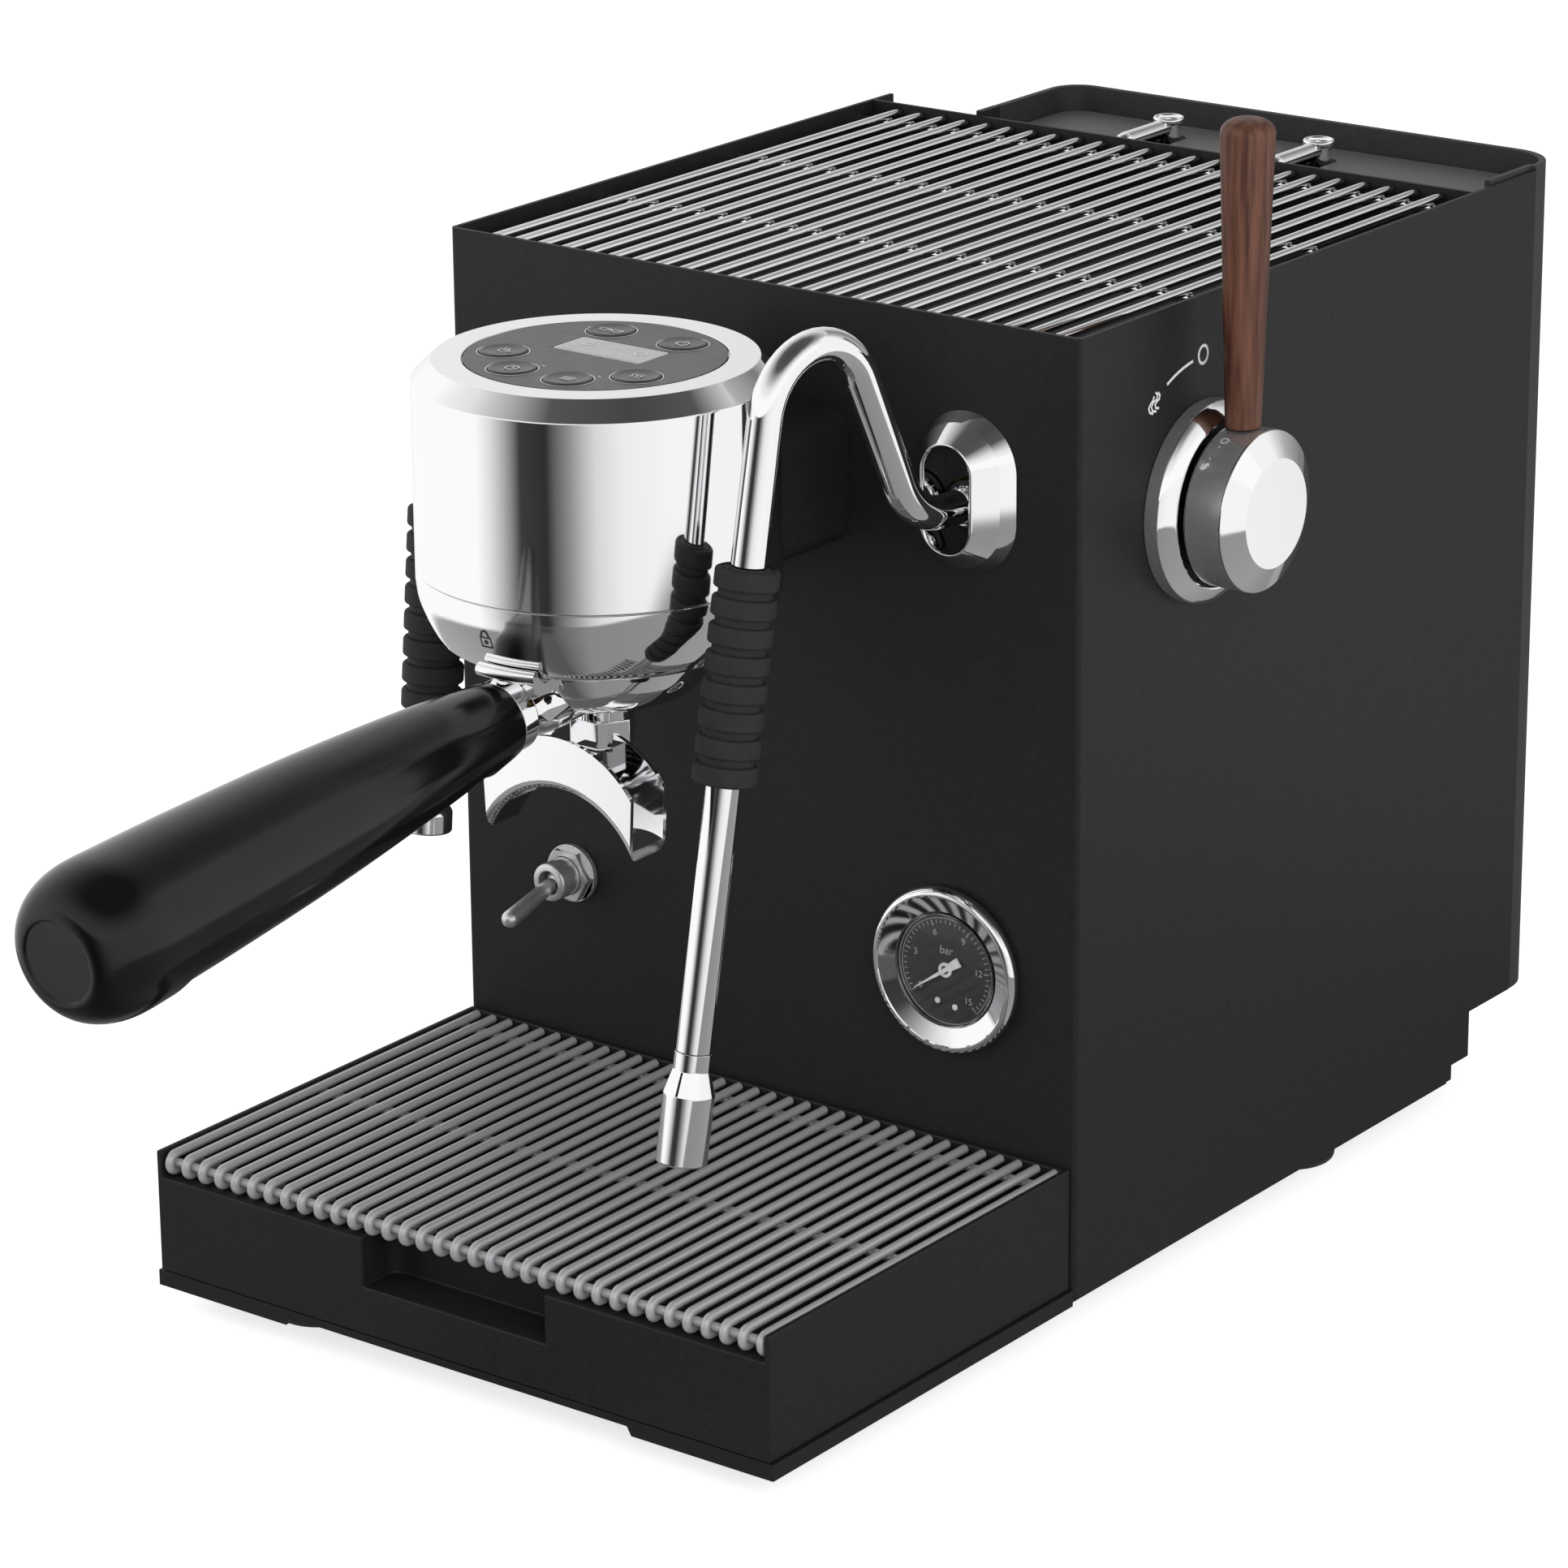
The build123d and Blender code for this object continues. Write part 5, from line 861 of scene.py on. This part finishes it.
# Floor: a paper sweep that glows for the camera and for metal, and keeps the machine's shadow
paper = bpy.data.materials.new("white_paper_sweep")
paper.use_nodes = True
tree = paper.node_tree
tree.nodes.clear()
seen = rays(tree, "Is Camera Ray", "Is Glossy Ray")
matte = add(tree, "ShaderNodeBsdfDiffuse", inputs={"Color": (0.75, 0.75, 0.75, 1)})
glow = add(tree, "ShaderNodeEmission", inputs={"Color": (1, 1, 1, 1), "Strength": 0.7})
lit = add(tree, "ShaderNodeAddShader", links={0: matte.outputs[0], 1: glow.outputs[0]})
both = add(tree, "ShaderNodeMixShader", links={0: seen, 1: matte.outputs[0], 2: lit.outputs[0]})
add(tree, "ShaderNodeOutputMaterial", links={"Surface": both.outputs[0]})
floor = stand_in(bpy.data.meshes.new("floor"))
floor.name = "floor"
sweep = 30.0
corners = [(-sweep, -sweep, 0), (sweep, -sweep, 0), (sweep, sweep, 0), (-sweep, sweep, 0)]
floor.data.from_pydata(corners, [], [(0, 1, 2, 3)])
floor.data.materials.append(paper)


def lamp(name, place, aim, size, power):
    """A soft square lamp that metal doesn't mirror."""
    light = bpy.data.lights.new(name, "AREA")
    light.shape, light.size, light.energy = "SQUARE", size, power
    obj = bpy.data.objects.new(name, light)
    obj.location = place
    obj.rotation_euler = (Vector(aim) - Vector(place)).to_track_quat("-Z", "Y").to_euler()
    scene.collection.objects.link(obj)
    obj.visible_glossy = False


lamp("key_lamp", (1.7, -1.2, 1.0), (0, 0, 0.15), 1.4, 26)
lamp("fill_lamp", (-1.6, -1.6, 1.0), (0, 0, 0.15), 1.4, 13)


def card(name, centre, height, radius, reach, near, far=None, wall=None):
    """A round studio card that only mirrors see. Its greys are pairs of place and shade: near ones run round
    it by compass degrees from the front, and far ones do so past its oval reach. Without far ones, near ones
    run outwards in metres. A wall is its height at the front and at the rear."""
    coat = bpy.data.materials.new(name)
    coat.use_nodes = True
    tree = coat.node_tree
    tree.nodes.clear()
    place = add(tree, "ShaderNodeTexCoord")
    spot = add(tree, "ShaderNodeMapping", links={"Vector": place.outputs["Object"]},
               inputs={"Location": (-centre[0], centre[1], 0), "Scale": (1, -1, 0)})
    axes = add(tree, "ShaderNodeSeparateXYZ", links={0: spot.outputs[0]})
    turn = add(tree, "ShaderNodeMath", {"operation": "ARCTAN2"},
               links={0: axes.outputs[0], 1: axes.outputs[1]})
    oval = add(tree, "ShaderNodeMapping", inputs={"Location": (-reach[0] / reach[1], 0, 0),
                                                  "Scale": (1 / reach[1], 1 / reach[2], 1)},
               links={"Vector": spot.outputs[0]})
    away = add(tree, "ShaderNodeVectorMath", {"operation": "LENGTH"}, links={0: oval.outputs[0]})
    greys = []
    for stops in (near, far or near):
        low, high = stops[0][0], stops[-1][0]
        value = turn.outputs[0] if far else away.outputs["Value"]
        unit = math.radians(1) if far else 1.0
        span = add(tree, "ShaderNodeMapRange", inputs={"From Min": low * unit, "From Max": high * unit},
                   links={"Value": value})
        ramp = add(tree, "ShaderNodeValToRGB", links={"Fac": span.outputs["Result"]})
        line = ramp.color_ramp.elements
        line[0].color, line[1].color = [(s, s, s, 1) for s in (stops[0][1], stops[-1][1])]
        for at, shade in stops[1:-1]:
            line.new((at - low) / (high - low)).color = (shade, shade, shade, 1)
        greys.append(ramp)
    edge = add(tree, "ShaderNodeMapRange", {"interpolation_type": "SMOOTHSTEP"},
               {"From Min": 0.92, "From Max": 1.08}, {"Value": away.outputs["Value"]})
    grey = add(tree, "ShaderNodeMix", {"data_type": "RGBA"},
               links={0: edge.outputs["Result"], 6: greys[0].outputs[0], 7: greys[1].outputs[0]})
    glow = add(tree, "ShaderNodeEmission", inputs={"Strength": 1.0}, links={"Color": grey.outputs[2]})
    add(tree, "ShaderNodeOutputMaterial", links={"Surface": glow.outputs[0]})
    mesh = bpy.data.meshes.new(name)
    sides = 48
    rim = [(centre[0] + radius * math.sin(a), centre[1] - radius * math.cos(a), height)
           for a in turns(0, 360, sides)[:-1]]
    faces = [tuple(range(sides))]
    if wall:
        low, high = wall
        tall = [low + (high - low) * min(max(4 - abs(k - sides / 2) / 2, 0), 1) for k in range(sides)]
        rim += [(x, y, height + h) for (x, y, _), h in zip(rim, tall)]
        faces += [(k, (k + 1) % sides, sides + (k + 1) % sides, sides + k) for k in range(sides)]
    mesh.from_pydata(rim, [], faces)
    mesh.materials.append(coat)
    obj = stand_in(mesh)
    obj.name = name
    obj.visible_camera = obj.visible_diffuse = obj.visible_shadow = obj.visible_transmission = False


# A grey table with a black flag before it, white walls at its sides, grey ones behind and a dark ceiling
table = [(-180, 0.20), (-120, 0.42), (-60, 0.32), (-24, 0.26), (-9, 0.10), (8, 0.09), (32, 0.25), (90, 0.28),
         (135, 0.33), (180, 0.20)]
walls = [(-180, 0.20), (-160, 0.62), (-138, 0.85), (-115, 1.0), (-40, 1.0), (-29, 0.74), (-9, 0.045),
         (8, 0.028), (22, 0.27), (38, 0.70), (54, 0.87), (84, 0.95), (144, 0.92), (160, 0.42), (180, 0.20)]
middle = (GROUP.x * MM, GROUP.y * MM)
card("table_and_walls", middle, 0.002, 2.5, (0.22, 0.72, 0.50), table, walls, (0.68, 2.4))
card("dark_ceiling", (middle[0] + 0.8, middle[1]), 3.0, 6.0, (0, 1, 1),
     [(0, 0.06), (1.5, 0.09), (2.3, 0.40), (3.5, 0.78), (6, 1.0)])
